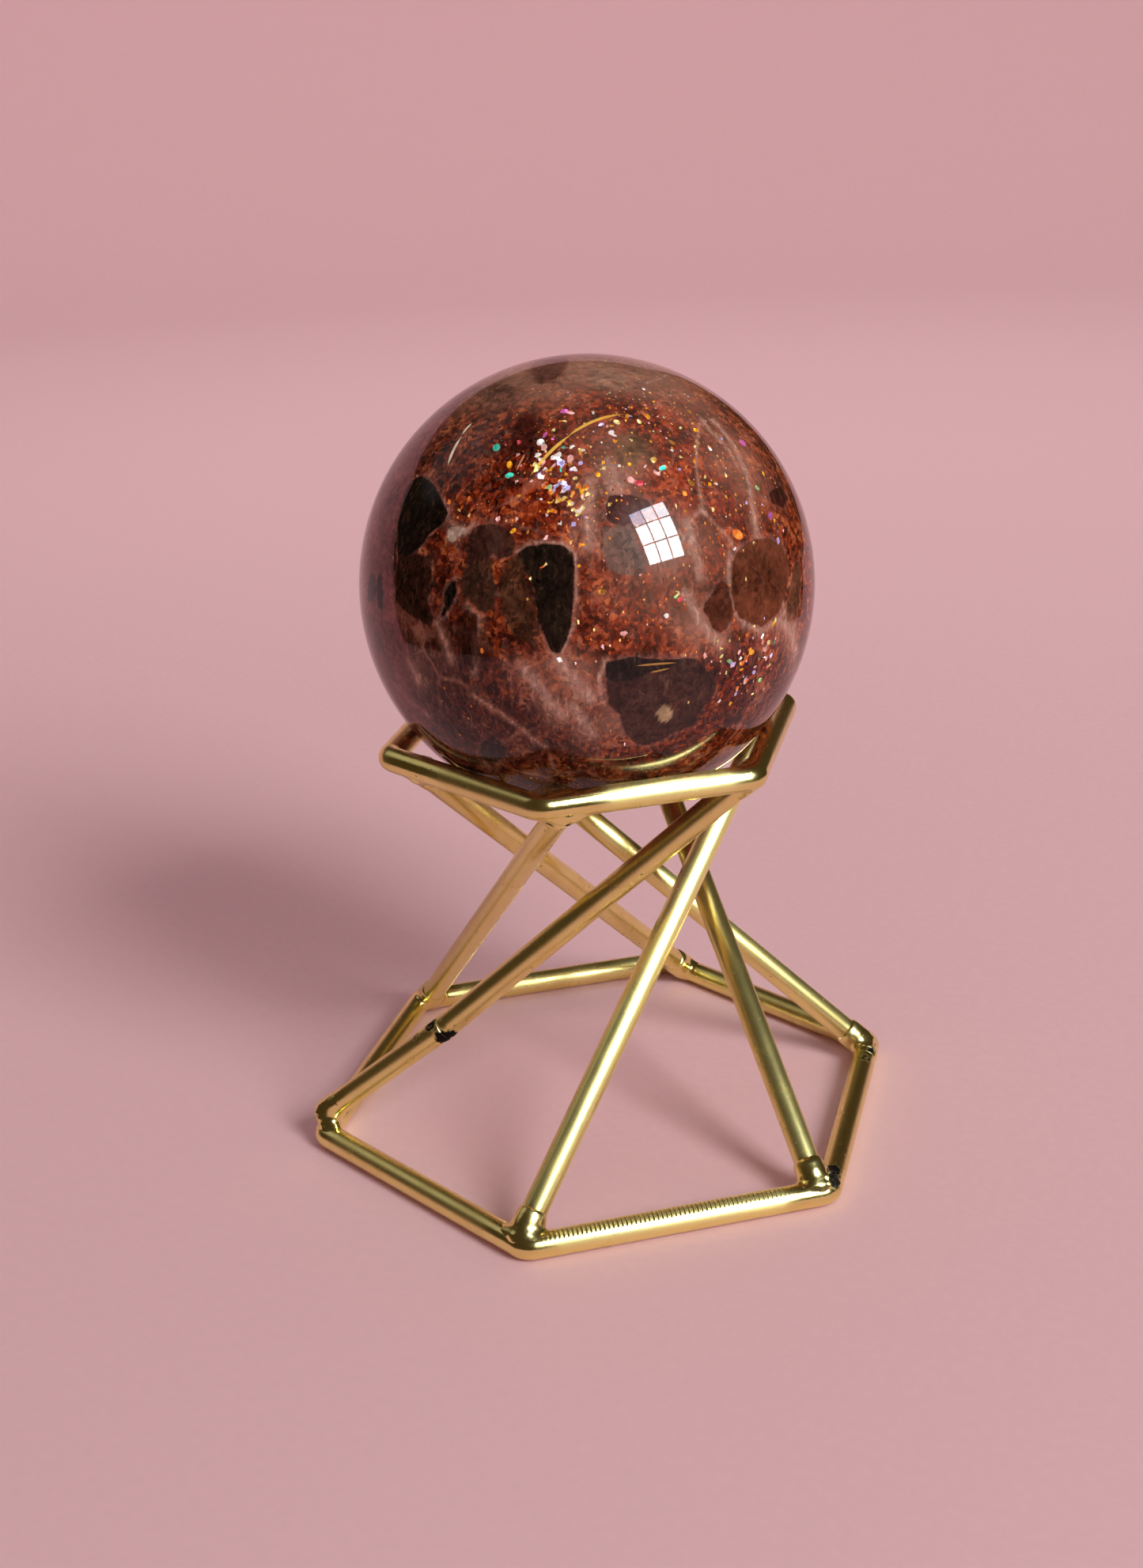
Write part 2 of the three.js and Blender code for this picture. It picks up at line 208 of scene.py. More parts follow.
# The larger confetti flakes by colour: longitude, latitude and length in millimetres
CONFETTI_TONES = {
    "magenta": "#E070C4", "blush": "#F2B8B0", "straw": "#E8D88C", "white": "#F4F2EC", "teal": "#3FB69C",
    "gold": "#E8A428", "lilac": "#B9B4E8", "green": "#8FBF7A", "orange": "#E27A34", "rose": "#D8505A",
    "bronze": "#A87434", "violet": "#9A5AB0",
}
CONFETTI = {
    "magenta": [(1.6, 52.6, 0.62), (4.9, 51.3, 0.44), (7.8, 60.2, 0.71), (79.8, 42.4, 0.88)],
    "blush": [
        (11.1, 59.6, 0.71), (2.3, 49, 0.71), (11.5, 45.9, 0.8), (2.8, 44.9, 0.62), (-6.4, 46.8, 0.44),
        (25.9, 54.6, 0.44), (37.6, 40.7, 0.44), (29.6, 39.4, 0.71), (60.8, -4, 0.44), (53, -4.5, 0.53),
        (61.9, -6.1, 0.53), (62.9, -8.8, 0.44), (43.1, -3.4, 0.62), (23.4, 4.5, 0.71), (23.7, -24.8, 0.53),
        (-7.9, 30.7, 0.53), (5.5, 26.7, 0.53)],
    "straw": [
        (8.6, 57, 0.53), (1.1, 43.2, 0.71), (9.9, 35.9, 0.44), (11.9, 34.5, 0.53), (12.3, 33.2, 0.44),
        (14.7, 48.2, 0.53), (15.6, 35.6, 0.44), (30.2, 55.6, 0.62), (39.6, 55.1, 0.62), (38.4, 43.8, 0.62),
        (63.2, -4.6, 0.62), (46.6, -0.4, 0.44), (47.5, -2.5, 0.44), (49.3, -9, 0.53), (64.7, -11, 0.44),
        (47.6, -4.5, 0.53), (36.9, 12.4, 0.53), (0.1, 44.4, 0.53), (32.9, 66.1, 0.53)],
    "white": [
        (0.4, 50.5, 0.71), (0.5, 47, 0.71), (1.9, 45.7, 0.53), (12, 49.1, 0.62), (7.5, 46.8, 0.8),
        (13.1, 43.1, 0.62), (3.2, 41.2, 0.53), (9.6, 37.6, 0.44), (15.8, 47.9, 0.44), (26.8, 52.6, 0.62),
        (27.7, 51.6, 0.44), (54.8, 19.6, 0.44), (61.5, 43.8, 0.44), (60.7, -2.6, 0.53), (48.4, -16.5, 0.53),
        (8.5, -1, 0.62), (33.5, 7.5, 0.53), (3.6, 43.2, 0.44), (5.8, 46.2, 0.53), (21.2, 59.3, 0.44)],
    "teal": [
        (-15.5, 48.4, 0.8), (-7.4, 41.3, 0.8), (9.2, 49, 0.44), (8.7, 42.8, 0.44), (40.6, 41.5, 0.8),
        (65.6, -5.5, 0.44)],
    "gold": [
        (-8.4, 44, 0.8), (5.6, 43.2, 0.53), (15.1, 37.7, 0.53), (14.8, 36.6, 0.44), (44.5, 56.2, 0.71),
        (35.7, 57.3, 0.53), (61.4, 49.6, 0.62), (73, 22.7, 0.53), (79, 33.6, 0.53), (57, -5.6, 0.71),
        (54, -9.3, 0.53), (64.9, -0.6, 0.53), (-3.2, 28.1, 0.62)],
    "lilac": [
        (8.5, 44.9, 0.8), (14.8, 44.5, 0.53), (1.9, 41.8, 0.44), (7.1, 38.1, 0.44), (9.6, 39.6, 0.62),
        (10.8, 38.4, 0.62), (23.6, 55.3, 0.62), (71.7, 17.9, 0.62), (51, -7.2, 0.71), (58.7, -11.2, 0.62),
        (64.8, -8.5, 0.53)],
    "green": [(5.4, 38.6, 0.53), (71.6, 31.3, 0.62), (50, -6.2, 0.62), (61.8, -14.1, 0.62), (36.2, 11.5, 0.44)],
    "orange": [
        (8.1, 36.5, 0.53), (13.9, 38.5, 0.44), (57, 22.5, 1.24), (44.6, 34.5, 0.62), (55.2, -6.6, 0.62),
        (54.1, -7.7, 0.71), (56.5, -12.9, 0.53), (53.6, -14.1, 0.53), (-10, 0.2, 0.53), (-18.4, 34.7, 0.62),
        (-24.8, 33.3, 0.53)],
    "rose": [(-7.7, 50.3, 0.53), (31.8, 38.5, 0.71), (63.5, -11.2, 0.44), (37.3, 10.8, 0.62)],
    "bronze": [(66.5, 55, 0.62), (47.9, 47.8, 0.71), (47.9, 36.6, 0.8), (18.8, 14.3, 0.8)],
    "violet": [(72, 24.1, 0.71)],
}

# Smaller ones strewn round the front: longitude, latitude, reach in millimetres, how many
SPRINKLED = [(6.0, 43.0, 2.6, 26), (12.5, 35.0, 1.6, 26), (40.0, 50.0, 4.2, 46), (56.0, -8.0, 2.4, 22),
             (10.0, 29.0, 3.0, 16), (62.0, 30.0, 4.0, 14)]
SPRINKLED_TONES = ["gold", "straw", "orange", "blush", "gold", "orange", "white", "bronze", "straw", "lilac"]

# Where glitter is dense, and where the stone is darkest with painted shade, mostly low on the sphere where less light
# reaches it, partly darker zones of the stone. Each: longitude, latitude, radius in millimetres, strength
EMBERS = [(39.9, 48.7, 7.5, 1.0), (-12.7, 32.6, 4.0, 0.45), (25.7, 9.2, 5.5, 0.6), (15.7, 34.2, 4.5, 0.8),
          (57.8, 30.1, 6.5, 0.7), (6.3, 44.1, 4.0, 0.8), (55.3, -7.6, 4.5, 0.7), (48.0, 22.0, 4.0, 0.5),
          (20.0, 62.0, 7.0, 0.5), (70.0, 55.0, 6.0, 0.5)]
PAINTED_SHADE = [(-40.7, -10.7, 10.0, 0.8), (-50.6, 25.3, 9.0, 0.55), (-15, -20, 9.0, 0.45), (-20, 0, 6.0, 0.4),
         (17.7, -46.0, 9.0, 0.75), (1.7, -22.0, 5.0, 0.35), (66.0, -24.0, 7.0, 0.5), (-22.0, -46.0, 8.0, 0.5)]
# Milky places: longitude, latitude, radius in millimetres, strength
MILK = [(25.3, 40.4, 2.4, 0.9), (30.9, 46.9, 3.2, 0.6), (32.3, 17.3, 5.5, 0.55), (44.2, 23.5, 4.0, 0.45),
        (17.9, 51.0, 3.2, 0.3), (-61.3, 63.7, 5.0, 0.5), (-29.8, 64.8, 3.5, 0.35), (12.1, -5.6, 2.6, 0.7),
        (20.1, -17.2, 2.4, 0.6), (41.8, 4.6, 2.6, 0.8), (-31.0, -8.1, 2.2, 0.4), (65.8, 45.0, 5.0, 0.3),
        (68.8, 35.4, 4.5, 0.5), (0.2, 66.1, 3.0, 0.35), (-13.0, 77.3, 4.5, 0.75), (38.3, 77.4, 4.5, 0.7),
        (57.3, 70.1, 4.0, 0.7), (72.0, 58.0, 4.0, 0.45), (-61.0, 74.0, 5.0, 0.6), (110.0, 72.0, 6.0, 0.7)]
# Painted highlights, bright threads laid into the colour where crack edges seem to catch the light: colour, width in
# millimetres, the start, middle and end of each
PAINTED_GLINT_LINES = [
    ("#F2C45A", 0.4, [(-0.8, 41.1), (4.4, 47.5), (10.9, 52.3)]),
    ("#E8B650", 0.4, [(9.7, 51.6), (20.5, 56.4), (33.9, 58.0)]),
    ("#EFE6C8", 0.42, [(-31.6, 41.7), (-33.3, 45.9), (-33.9, 48.8)]),
    ("#E6DCBE", 0.38, [(-34.5, 50.4), (-34.6, 52.4), (-34.1, 54.3)]),
    ("#A87C40", 0.24, [(25.5, -3.4), (30.8, -3.5), (35.8, -3.9)]),
    ("#A87C40", 0.2, [(29.0, -5.4), (31.6, -5.2), (33.8, -5.0)]),
    ("#C8906C", 0.22, [(-5.6, 42.2), (-4.8, 44.8), (-4.0, 47.2)]),
]
FRONT_CENTRE = (16.0, 19.0)

# Brighter places of the room: direction, half width in degrees, brightness
ROOM_GLOWS = [((0.699, -0.444, 0.561), 24.0, 2.2), ((-0.718, 0.140, 0.682), 22.0, 0.4)]


class StoneSettings(bpy.types.PropertyGroup):
    diameter: bpy.props.FloatProperty(
        name="Diameter", description="Across the polished sphere, in millimetres",
        default=STONE_DIAMETER, min=5.0)
    grain: bpy.props.FloatProperty(
        name="Grain", description="Width of one grain of the stone, in millimetres", default=0.45, min=0.1)
    glitter: bpy.props.FloatProperty(
        name="Glitter", description="Width of one fine copper-red flake, in millimetres", default=0.42, min=0.05)
    polish: bpy.props.FloatProperty(
        name="Polish", description="Roughness of the polished surface", default=0.012, subtype="FACTOR")
    rust: bpy.props.FloatVectorProperty(
        name="Rust", description="Colour of the iron-stained stone", subtype="COLOR", size=3,
        default=(0.302, 0.061, 0.026))
    veil: bpy.props.FloatVectorProperty(
        name="Veil", description="Colour of a healed crack", subtype="COLOR", size=3,
        default=(0.41, 0.22, 0.152))
    seed: bpy.props.IntProperty(
        name="Seed", description="Chooses the markings on the far side", default=7)


class WireSettings(bpy.types.PropertyGroup):
    wire: bpy.props.FloatProperty(
        name="Wire", description="Thickness of the wire, in millimetres", default=2.85, min=0.5)
    base_reach: bpy.props.FloatProperty(
        name="Base corner", description="From the axis to a sharp corner of the base ring, in millimetres",
        default=34.4)
    top_reach: bpy.props.FloatProperty(
        name="Top corner", description="From the axis to a sharp corner of the top ring, in millimetres",
        default=23.45)
    rise: bpy.props.FloatProperty(
        name="Rise", description="From one ring's centreline to the other's, in millimetres", default=46.2)
    bend: bpy.props.FloatProperty(
        name="Bend", description="Radius of the centreline at a corner, in millimetres", default=1.8)
    gold: bpy.props.FloatVectorProperty(
        name="Gold", description="Colour of the plating", subtype="COLOR", size=3, default=(0.89, 0.785, 0.31))
    shine: bpy.props.FloatProperty(
        name="Shine", description="Roughness of the drawn wire's bright plating", default=0.26, subtype="FACTOR")


class StageSettings(bpy.types.PropertyGroup):
    floor: bpy.props.FloatVectorProperty(
        name="Paper", description="Colour of the paper floor", subtype="COLOR", size=3,
        default=(0.80, 0.535, 0.565))
    daylight: bpy.props.FloatProperty(
        name="Daylight", description="Brightness of the window", default=48.0, min=0.0)
    ambient: bpy.props.FloatProperty(
        name="Ambient", description="Brightness of the soft light from all round", default=0.27, min=0.0)
    room: bpy.props.FloatProperty(
        name="Room", description="Brightness of the room as the polish mirrors it", default=0.05, min=0.0)
    azimuth: bpy.props.FloatProperty(
        name="Azimuth", description="The camera's place round the object", subtype="ANGLE",
        default=math.radians(16.08))
    elevation: bpy.props.FloatProperty(
        name="Elevation", description="The camera's height above the horizon", subtype="ANGLE",
        default=math.radians(21.53))
    roll: bpy.props.FloatProperty(
        name="Roll", description="How far the camera is tilted", subtype="ANGLE", default=math.radians(-2.389))
    distance: bpy.props.FloatProperty(
        name="Distance", description="From the camera to what it aims at", unit="LENGTH", default=0.22786)
    lens: bpy.props.FloatProperty(
        name="Lens", description="Focal length on a 36 mm sensor", default=45.64, unit="CAMERA")


def linear(code):
    """Linear red, green and blue of an sRGB hex colour."""
    parts = [int(code[i:i + 2], 16) / 255 for i in (1, 3, 5)]
    return tuple(c / 12.92 if c <= 0.04045 else ((c + 0.055) / 1.055) ** 2.4 for c in parts)


def add(tree, kind, inputs=None, **settings):
    """A new node with its settings, its values and its links: inputs holds numbers, colours or sockets."""
    made = tree.nodes.new(kind)
    for name, value in settings.items():
        setattr(made, name, value)
    for name, value in (inputs or {}).items():
        if isinstance(value, bpy.types.NodeSocket):
            tree.links.new(value, made.inputs[name])
        elif isinstance(value, str):
            made.inputs[name].default_value = (*linear(value), 1.0)
        else:
            made.inputs[name].default_value = value
    return made


def colour_stops(ramp, stops):
    """Sets a colour ramp's stops from (place, hex colour) or (place, grey)."""
    elements = ramp.color_ramp.elements
    while len(elements) < len(stops):
        elements.new(0.5)
    for element, (place, tone) in zip(elements, stops):
        element.position = place
        element.color = (*linear(tone), 1.0) if isinstance(tone, str) else (tone, tone, tone, 1.0)
    return ramp


def new_material(name):
    made = bpy.data.materials.new(name)
    made.use_nodes = True
    tree = made.node_tree
    tree.nodes.clear()
    surface = add(tree, "ShaderNodeBsdfPrincipled")
    add(tree, "ShaderNodeOutputMaterial", {"Surface": surface.outputs[0]})
    return made, tree, surface


def lay_drawn_map(mesh, around, along):
    """A map whose first axis runs round the wire and whose second runs along it, for the drawn finish."""
    corners = np.empty(len(mesh.loops), int)
    mesh.loops.foreach_get("vertex_index", corners)
    first, count = np.empty(len(mesh.polygons), int), np.empty(len(mesh.polygons), int)
    mesh.polygons.foreach_get("loop_start", first)
    mesh.polygons.foreach_get("loop_total", count)
    turn = around[corners]
    highest = np.repeat(np.maximum.reduceat(turn, first), count)
    turn += highest - turn > 0.5
    mesh.uv_layers.new(name="drawn").uv.foreach_set(
        "vector", np.stack([turn, along[corners]], -1).astype(np.float32).ravel())


def new_piece(name, points, faces, fields, material):
    """A smooth mesh object from points in millimetres, with its named fields stored at the points."""
    mesh = bpy.data.meshes.new(name)
    mesh.from_pydata((np.asarray(points) * MM).tolist(), [], faces)
    for field, values in fields.items():
        if values.ndim == 2:
            mesh.attributes.new(field, "FLOAT_COLOR", "POINT").data.foreach_set(
                "color", values.astype(np.float32).ravel())
        else:
            mesh.attributes.new(field, "FLOAT", "POINT").data.foreach_set("value", values.astype(np.float32))
    mesh.polygons.foreach_set("use_smooth", [True] * len(mesh.polygons))
    mesh.materials.append(material)
    mesh.update()
    if "around_x" in fields:
        turn = np.arctan2(fields["around_y"], fields["around_x"]) / (2 * math.pi) % 1.0
        lay_drawn_map(mesh, turn, fields["along_mm"])
    made = bpy.data.objects.new(name, mesh)
    bpy.context.scene.collection.objects.link(made)
    return made


# ---------------------------------------------------------------- the stone


def facing(longitude, latitude):
    """Unit vectors that point out of the sphere at the given degrees."""
    lon, lat = np.radians(longitude), np.radians(latitude)
    return np.stack([np.sin(lon) * np.cos(lat), -np.cos(lon) * np.cos(lat), np.sin(lat)], -1)


def divided_ball(divisions):
    """Unit directions and quads of a cube whose faces are divided by equal angles and blown up to a ball."""
    steps = np.tan(np.linspace(-math.pi / 4, math.pi / 4, divisions + 1))
    u, v = (g.ravel() for g in np.meshgrid(steps, steps, indexing="ij"))
    one = np.ones_like(u)
    sides = [(one, u, v), (-one, -u, v), (-u, one, v), (u, -one, v), (-v, u, one), (v, u, -one)]
    points = np.concatenate([np.stack(side, -1) for side in sides])
    points /= np.linalg.norm(points, axis=1)[:, None]
    corner = (np.arange(divisions)[:, None] * (divisions + 1) + np.arange(divisions)).ravel()
    quad = np.stack([corner, corner + divisions + 1, corner + divisions + 2, corner + 1], -1)
    quads = np.concatenate([quad + side * (divisions + 1) ** 2 for side in range(6)])
    _, first, merged = np.unique(np.round(points, 6), axis=0, return_index=True, return_inverse=True)
    return points[first], merged.ravel()[quads]


def flattened(directions, centre, radius):
    """The directions in millimetres on the plane that touches the sphere at centre."""
    side = np.cross((0.0, 0.0, 1.0) if abs(centre[2]) < 0.9 else (1.0, 0.0, 0.0), centre)
    side /= np.linalg.norm(side)
    up = np.cross(centre, side)
    depth = np.maximum(directions @ centre, 0.2)
    return np.stack([directions @ side / depth, directions @ up / depth], -1) * radius


def away_from_line(points, line):
    """Each point's distance from an open line of points, and the way there from the line."""
    best, ways = np.full(len(points), np.inf), np.zeros_like(points)
    for start, end in zip(line[:-1], line[1:]):
        way = end - start
        share = np.clip(((points - start) @ way) / max(way @ way, 1e-9), 0, 1)
        off = points - start - share[:, None] * way
        distance = np.linalg.norm(off, axis=1)
        nearer = distance < best
        best[nearer], ways[nearer] = distance[nearer], off[nearer]
    return best, ways


def distance_to_line(points, line):
    return away_from_line(points, line)[0]


def depth_inside(points, outline):
    """Distance to a closed outline, positive inside it."""
    inside = np.zeros(len(points), bool)
    for (x0, y0), (x1, y1) in zip(outline, np.roll(outline, -1, 0)):
        crosses = (y0 > points[:, 1]) != (y1 > points[:, 1])
        at = (x1 - x0) * (points[:, 1] - y0) / (y1 - y0 if y1 != y0 else 1e-9) + x0
        inside ^= crosses & (points[:, 0] < at)
    away = distance_to_line(points, np.concatenate([outline, outline[:1]]))
    return np.where(inside, away, -away)


def far_side_windows(draw, radius):
    """Angular dark crystals for the part of the sphere that has none drawn."""
    tones = ["#120B08", "#1E1611", "#33201C", "#46302C", "#6A3B26", "#3C1F18", "#7A6048", "#280F0B", "#78645A"]
    front, made, taken = facing(*FRONT_CENTRE), [], []
    while len(made) < 26:
        centre = draw.normal(size=3)
        centre /= np.linalg.norm(centre)
        size = draw.uniform(2.2, 6.2)
        clear = math.degrees(math.acos(np.clip(centre @ front, -1, 1))) - math.degrees(size / radius)
        if clear < 82 or any(centre @ other > math.cos((size + reach) * 1.05 / radius) for other, reach in taken):
            continue
        taken.append((centre, size))
        side = np.cross(centre, draw.normal(size=3))
        side /= np.linalg.norm(side)
        up = np.cross(centre, side)
        angles = np.sort(np.linspace(0, 2 * math.pi, 7, endpoint=False) + draw.uniform(-0.3, 0.3, 7))
        reach = size * draw.uniform(0.62, 1.0, 7) / radius
        long = draw.uniform(0.55, 1.0)
        outline = (centre + (np.cos(angles) * reach)[:, None] * side
                   + (np.sin(angles) * reach * long)[:, None] * up)
        outline /= np.linalg.norm(outline, axis=1)[:, None]
        softness = draw.uniform(0.4, 1.0)
        made.append((tones[draw.integers(len(tones))], draw.uniform(0.75, 1.0), softness, outline))
    return made


def stone_fields(directions, settings):
    """The stone's markings as fields over its surface, in millimetres where they are depths."""
    radius = settings.diameter / 2
    draw = np.random.default_rng(settings.seed)
    count = len(directions)
    front = facing(*FRONT_CENTRE)

    drawn = [(tone, clear, soft, facing(*np.array(line).T)) for tone, clear, soft, line in WINDOWS]
    depth = np.full(count, -3.0)
    tone = np.zeros((count, 4))
    for colour, clear, soft, outline in drawn + far_side_windows(draw, radius):
        centre = outline.mean(0)
        centre /= np.linalg.norm(centre)
        near = np.flatnonzero(directions @ centre > math.cos(math.radians(35)))
        inside = depth_inside(flattened(directions[near], centre, radius),
                              flattened(outline, centre, radius)) * soft
        taken = (inside > depth[near]) | (inside > 0)
        tone[near[taken]] = (*linear(colour), clear)
        depth[near] = np.maximum(depth[near], inside)

    lines = [(width, facing(*np.array(line).T)) for width, line in VEILS]
    for _ in range(38):
        start = draw.normal(size=3)
        start /= np.linalg.norm(start)
        if start @ front > -0.25:
            continue
        way = np.cross(start, draw.normal(size=3)) * draw.uniform(0.1, 0.22)
        line = [start]
        for _ in range(4):
            step = line[-1] + way * draw.uniform(0.6, 1.2) + draw.normal(size=3) * 0.035
            line.append(step / np.linalg.norm(step))
        lines.append((draw.uniform(0.35, 1.7), np.array(line)))
    veil = np.zeros(count)
    for width, line in lines:
        middle = line.mean(0)
        middle /= np.linalg.norm(middle)
        near = np.flatnonzero(directions @ middle > math.cos(math.radians(38)))
        away = distance_to_line(flattened(directions[near], middle, radius), flattened(line, middle, radius))
        veil[near] = np.maximum(veil[near], np.exp(-((away / width) ** 1.5)))

    flakes = [(*facing(lon, lat), length * 1.25, colour)
              for colour, places in CONFETTI.items() for lon, lat, length in places]
    palette = list(CONFETTI_TONES)
    for _ in range(12):
        heart = draw.normal(size=3)
        heart /= np.linalg.norm(heart)
        for _ in range(16):
            place = heart + draw.normal(size=3) * 0.09
            place /= np.linalg.norm(place)
            colour = palette[draw.integers(len(palette))]
            if place @ front < 0.12:
                flakes.append((*place, draw.uniform(0.5, 1.0), colour))
    for lon, lat, reach, number in SPRINKLED:
        for _ in range(number):
            place = facing(lon, lat) + draw.normal(size=3) * reach / radius
            place /= np.linalg.norm(place)
            colour = SPRINKLED_TONES[draw.integers(len(SPRINKLED_TONES))]
            flakes.append((*place, draw.uniform(0.42, 0.62), colour))
    spark = np.full(count, -1.0)
    spark_tone = np.zeros((count, 4))
    for x, y, z, length, colour in flakes:
        centre = np.array((x, y, z))
        turn, stretch = draw.uniform(0, math.pi), draw.uniform(1.1, 1.9)
        near = np.flatnonzero(directions @ centre > math.cos(1.6 / radius))
        flat = flattened(directions[near], centre, radius)
        across = (flat[:, 0] * math.cos(turn) + flat[:, 1] * math.sin(turn)) / (length / 2)
        along = (flat[:, 1] * math.cos(turn) - flat[:, 0] * math.sin(turn)) / (length / 2) * stretch
        inside = (1.0 - np.hypot(across, along)) * length / 2
        taken = inside > spark[near]
        spark[near[taken]] = inside[taken]
        spark_tone[near[taken]] = (*linear(CONFETTI_TONES[colour]), 1.0)

    embers, painted_shade, milk = list(EMBERS), list(PAINTED_SHADE), list(MILK)
    for _ in range(9):
        embers.append((draw.uniform(110, 285), draw.uniform(-70, 70), draw.uniform(3.5, 8.0), draw.uniform(0.5, 1.0)))
    # Painted shade on the far side too, in random darker places
    for _ in range(4):
        painted_shade.append((draw.uniform(120, 270), draw.uniform(-60, 60), draw.uniform(5.0, 9.0), draw.uniform(0.3, 0.6)))
    for _ in range(16):
        milk.append((draw.uniform(110, 280), draw.uniform(-70, 75), draw.uniform(1.8, 4.5), draw.uniform(0.5, 1.0)))
    sums = []
    for blobs in (embers, painted_shade, milk):
        total = np.zeros(count)
        for lon, lat, reach, strength in blobs:
            away = np.linalg.norm(directions - facing(lon, lat), axis=1) * radius
            total += strength * np.exp(-((away / reach) ** 2))
        sums.append(np.clip(total, 0, 1))
    return {"window_depth": depth, "window_tone": tone, "veil": veil, "spark_depth": spark,
            "spark_tone": spark_tone, "ember": sums[0], "painted_shade": sums[1], "milk": sums[2]}


def sunstone_material(settings):
    """Confetti sunstone: an iron-stained feldspar and quartz with copper-red flakes, ground and polished.

    The polish is a clear coat that mirrors sharply. Under it the grains and flakes each tilt their own way,
    so that light seems to come from inside.
    """
    material, tree, surface = new_material("polished confetti sunstone")
    place = add(tree, "ShaderNodeTexCoord").outputs["Object"]
    normal = add(tree, "ShaderNodeNewGeometry").outputs["Normal"]
    field = {name: add(tree, "ShaderNodeAttribute", attribute_name=name)
             for name in ("window_depth", "window_tone", "veil", "milk", "spark_depth", "spark_tone", "ember",
                          "painted_shade")}

    # The grains' borders wander by about half a millimetre
    wander = add(tree, "ShaderNodeTexNoise", {"Vector": place, "Scale": 1000 / 2.2, "Detail": 3.0})
    offset = add(tree, "ShaderNodeVectorMath", {0: wander.outputs["Color"], 1: (0.5, 0.5, 0.5)},
                 operation="SUBTRACT")
    shifted = add(tree, "ShaderNodeVectorMath", {0: offset.outputs[0], 1: (0.0016,) * 3, 2: place},
                  operation="MULTIPLY_ADD").outputs[0]
    cloud = add(tree, "ShaderNodeTexNoise",
                {"Vector": place, "Scale": 1000 / 6.0, "Detail": 7.0, "Roughness": 0.6})
    blotch = add(tree, "ShaderNodeTexNoise",
                 {"Vector": shifted, "Scale": 1000 / 2.4, "Detail": 4.0, "Roughness": 0.66, "Distortion": 0.6})
    speck = add(tree, "ShaderNodeTexNoise",
                {"Vector": shifted, "Scale": 1000 / 1.0, "Detail": 5.0, "Roughness": 0.85})
    grain = add(tree, "ShaderNodeTexVoronoi", {"Vector": shifted, "Scale": 1000 / settings.grain})

    # Rust colour, from dark clots to orange grains
    part = add(tree, "ShaderNodeSeparateColor", {0: grain.outputs["Color"]})
    part = add(tree, "ShaderNodeMath", {0: part.outputs[0], 1: 0.24}, operation="MULTIPLY")
    for noise, weight in ((cloud, 0.5), (blotch, 0.55), (speck, 0.5)):
        part = add(tree, "ShaderNodeMath", {0: noise.outputs[0], 1: weight, 2: part.outputs[0]},
                   operation="MULTIPLY_ADD")
    rust = colour_stops(add(tree, "ShaderNodeValToRGB", {0: part.outputs[0]}), [
        (0.66, "#140504"), (0.79, "#381107"), (0.89, "#5C1E0C"), (0.98, "#843615")])
    bright = add(tree, "ShaderNodeMapRange", {0: part.outputs[0], 1: 0.98, 2: 1.15}, clamp=True)
    rust = add(tree, "ShaderNodeMix", {0: bright.outputs[0], 6: rust.outputs[0], 7: "#C47440"},
               data_type="RGBA")

    # Where glitter is dense the stone turns orange. Painted shade darkens it towards a dull purple, mostly low on the
    # sphere where less light reaches it
    glow = add(tree, "ShaderNodeMath", {0: field["ember"].outputs["Fac"], 1: 0.6}, operation="MULTIPLY")
    tone = add(tree, "ShaderNodeMix", {0: glow.outputs[0], 6: rust.outputs[2], 7: "#B44A1C"},
               data_type="RGBA", blend_type="SOFT_LIGHT")
    dark = add(tree, "ShaderNodeMath", {0: field["painted_shade"].outputs["Fac"], 1: 0.85}, operation="MULTIPLY")
    tone = add(tree, "ShaderNodeMix", {0: dark.outputs[0], 6: tone.outputs[2], 7: "#22100C"},
               data_type="RGBA")

    # Silky fibres in two directions, and needles as fine as a hair
    turned = colour_stops(add(tree, "ShaderNodeValToRGB", {0: wander.outputs[0]}), [(0.48, 0.0), (0.52, 1.0)])
    along = [add(tree, "ShaderNodeMapping", {"Vector": shifted, "Rotation": turn, "Scale": (1.0, 1.0, 0.14)})
             for turn in ((0.5, 0.75, 0.3), (1.35, -0.4, 1.1))]
    along = add(tree, "ShaderNodeMix", {0: turned.outputs[0], 4: along[0].outputs[0], 5: along[1].outputs[0]},
                data_type="VECTOR")
    fibre = add(tree, "ShaderNodeTexNoise", {"Vector": along.outputs[1], "Scale": 1000 / 0.5, "Detail": 3.0})
    fibre = colour_stops(add(tree, "ShaderNodeValToRGB", {0: fibre.outputs[0]}), [(0.5, 0.0), (0.75, 1.0)])
    needle = add(tree, "ShaderNodeTexVoronoi", {"Vector": along.outputs[1], "Scale": 1000 / 1.3},
                 feature="DISTANCE_TO_EDGE")
    needle = add(tree, "ShaderNodeMapRange", {0: needle.outputs["Distance"], 1: 0.0, 2: 0.06, 3: 1.0, 4: 0.0},
                 clamp=True)
    some = colour_stops(add(tree, "ShaderNodeValToRGB", {0: blotch.outputs[0]}), [(0.5, 0.0), (0.62, 1.0)])
    needle = add(tree, "ShaderNodeMath", {0: needle.outputs[0], 1: some.outputs[0]}, operation="MULTIPLY")
    wisp = add(tree, "ShaderNodeMath", {0: fibre.outputs[0], 1: 0.2}, operation="MULTIPLY")
    wisp = add(tree, "ShaderNodeMath", {0: needle.outputs[0], 1: 0.3, 2: wisp.outputs[0]},
               operation="MULTIPLY_ADD")

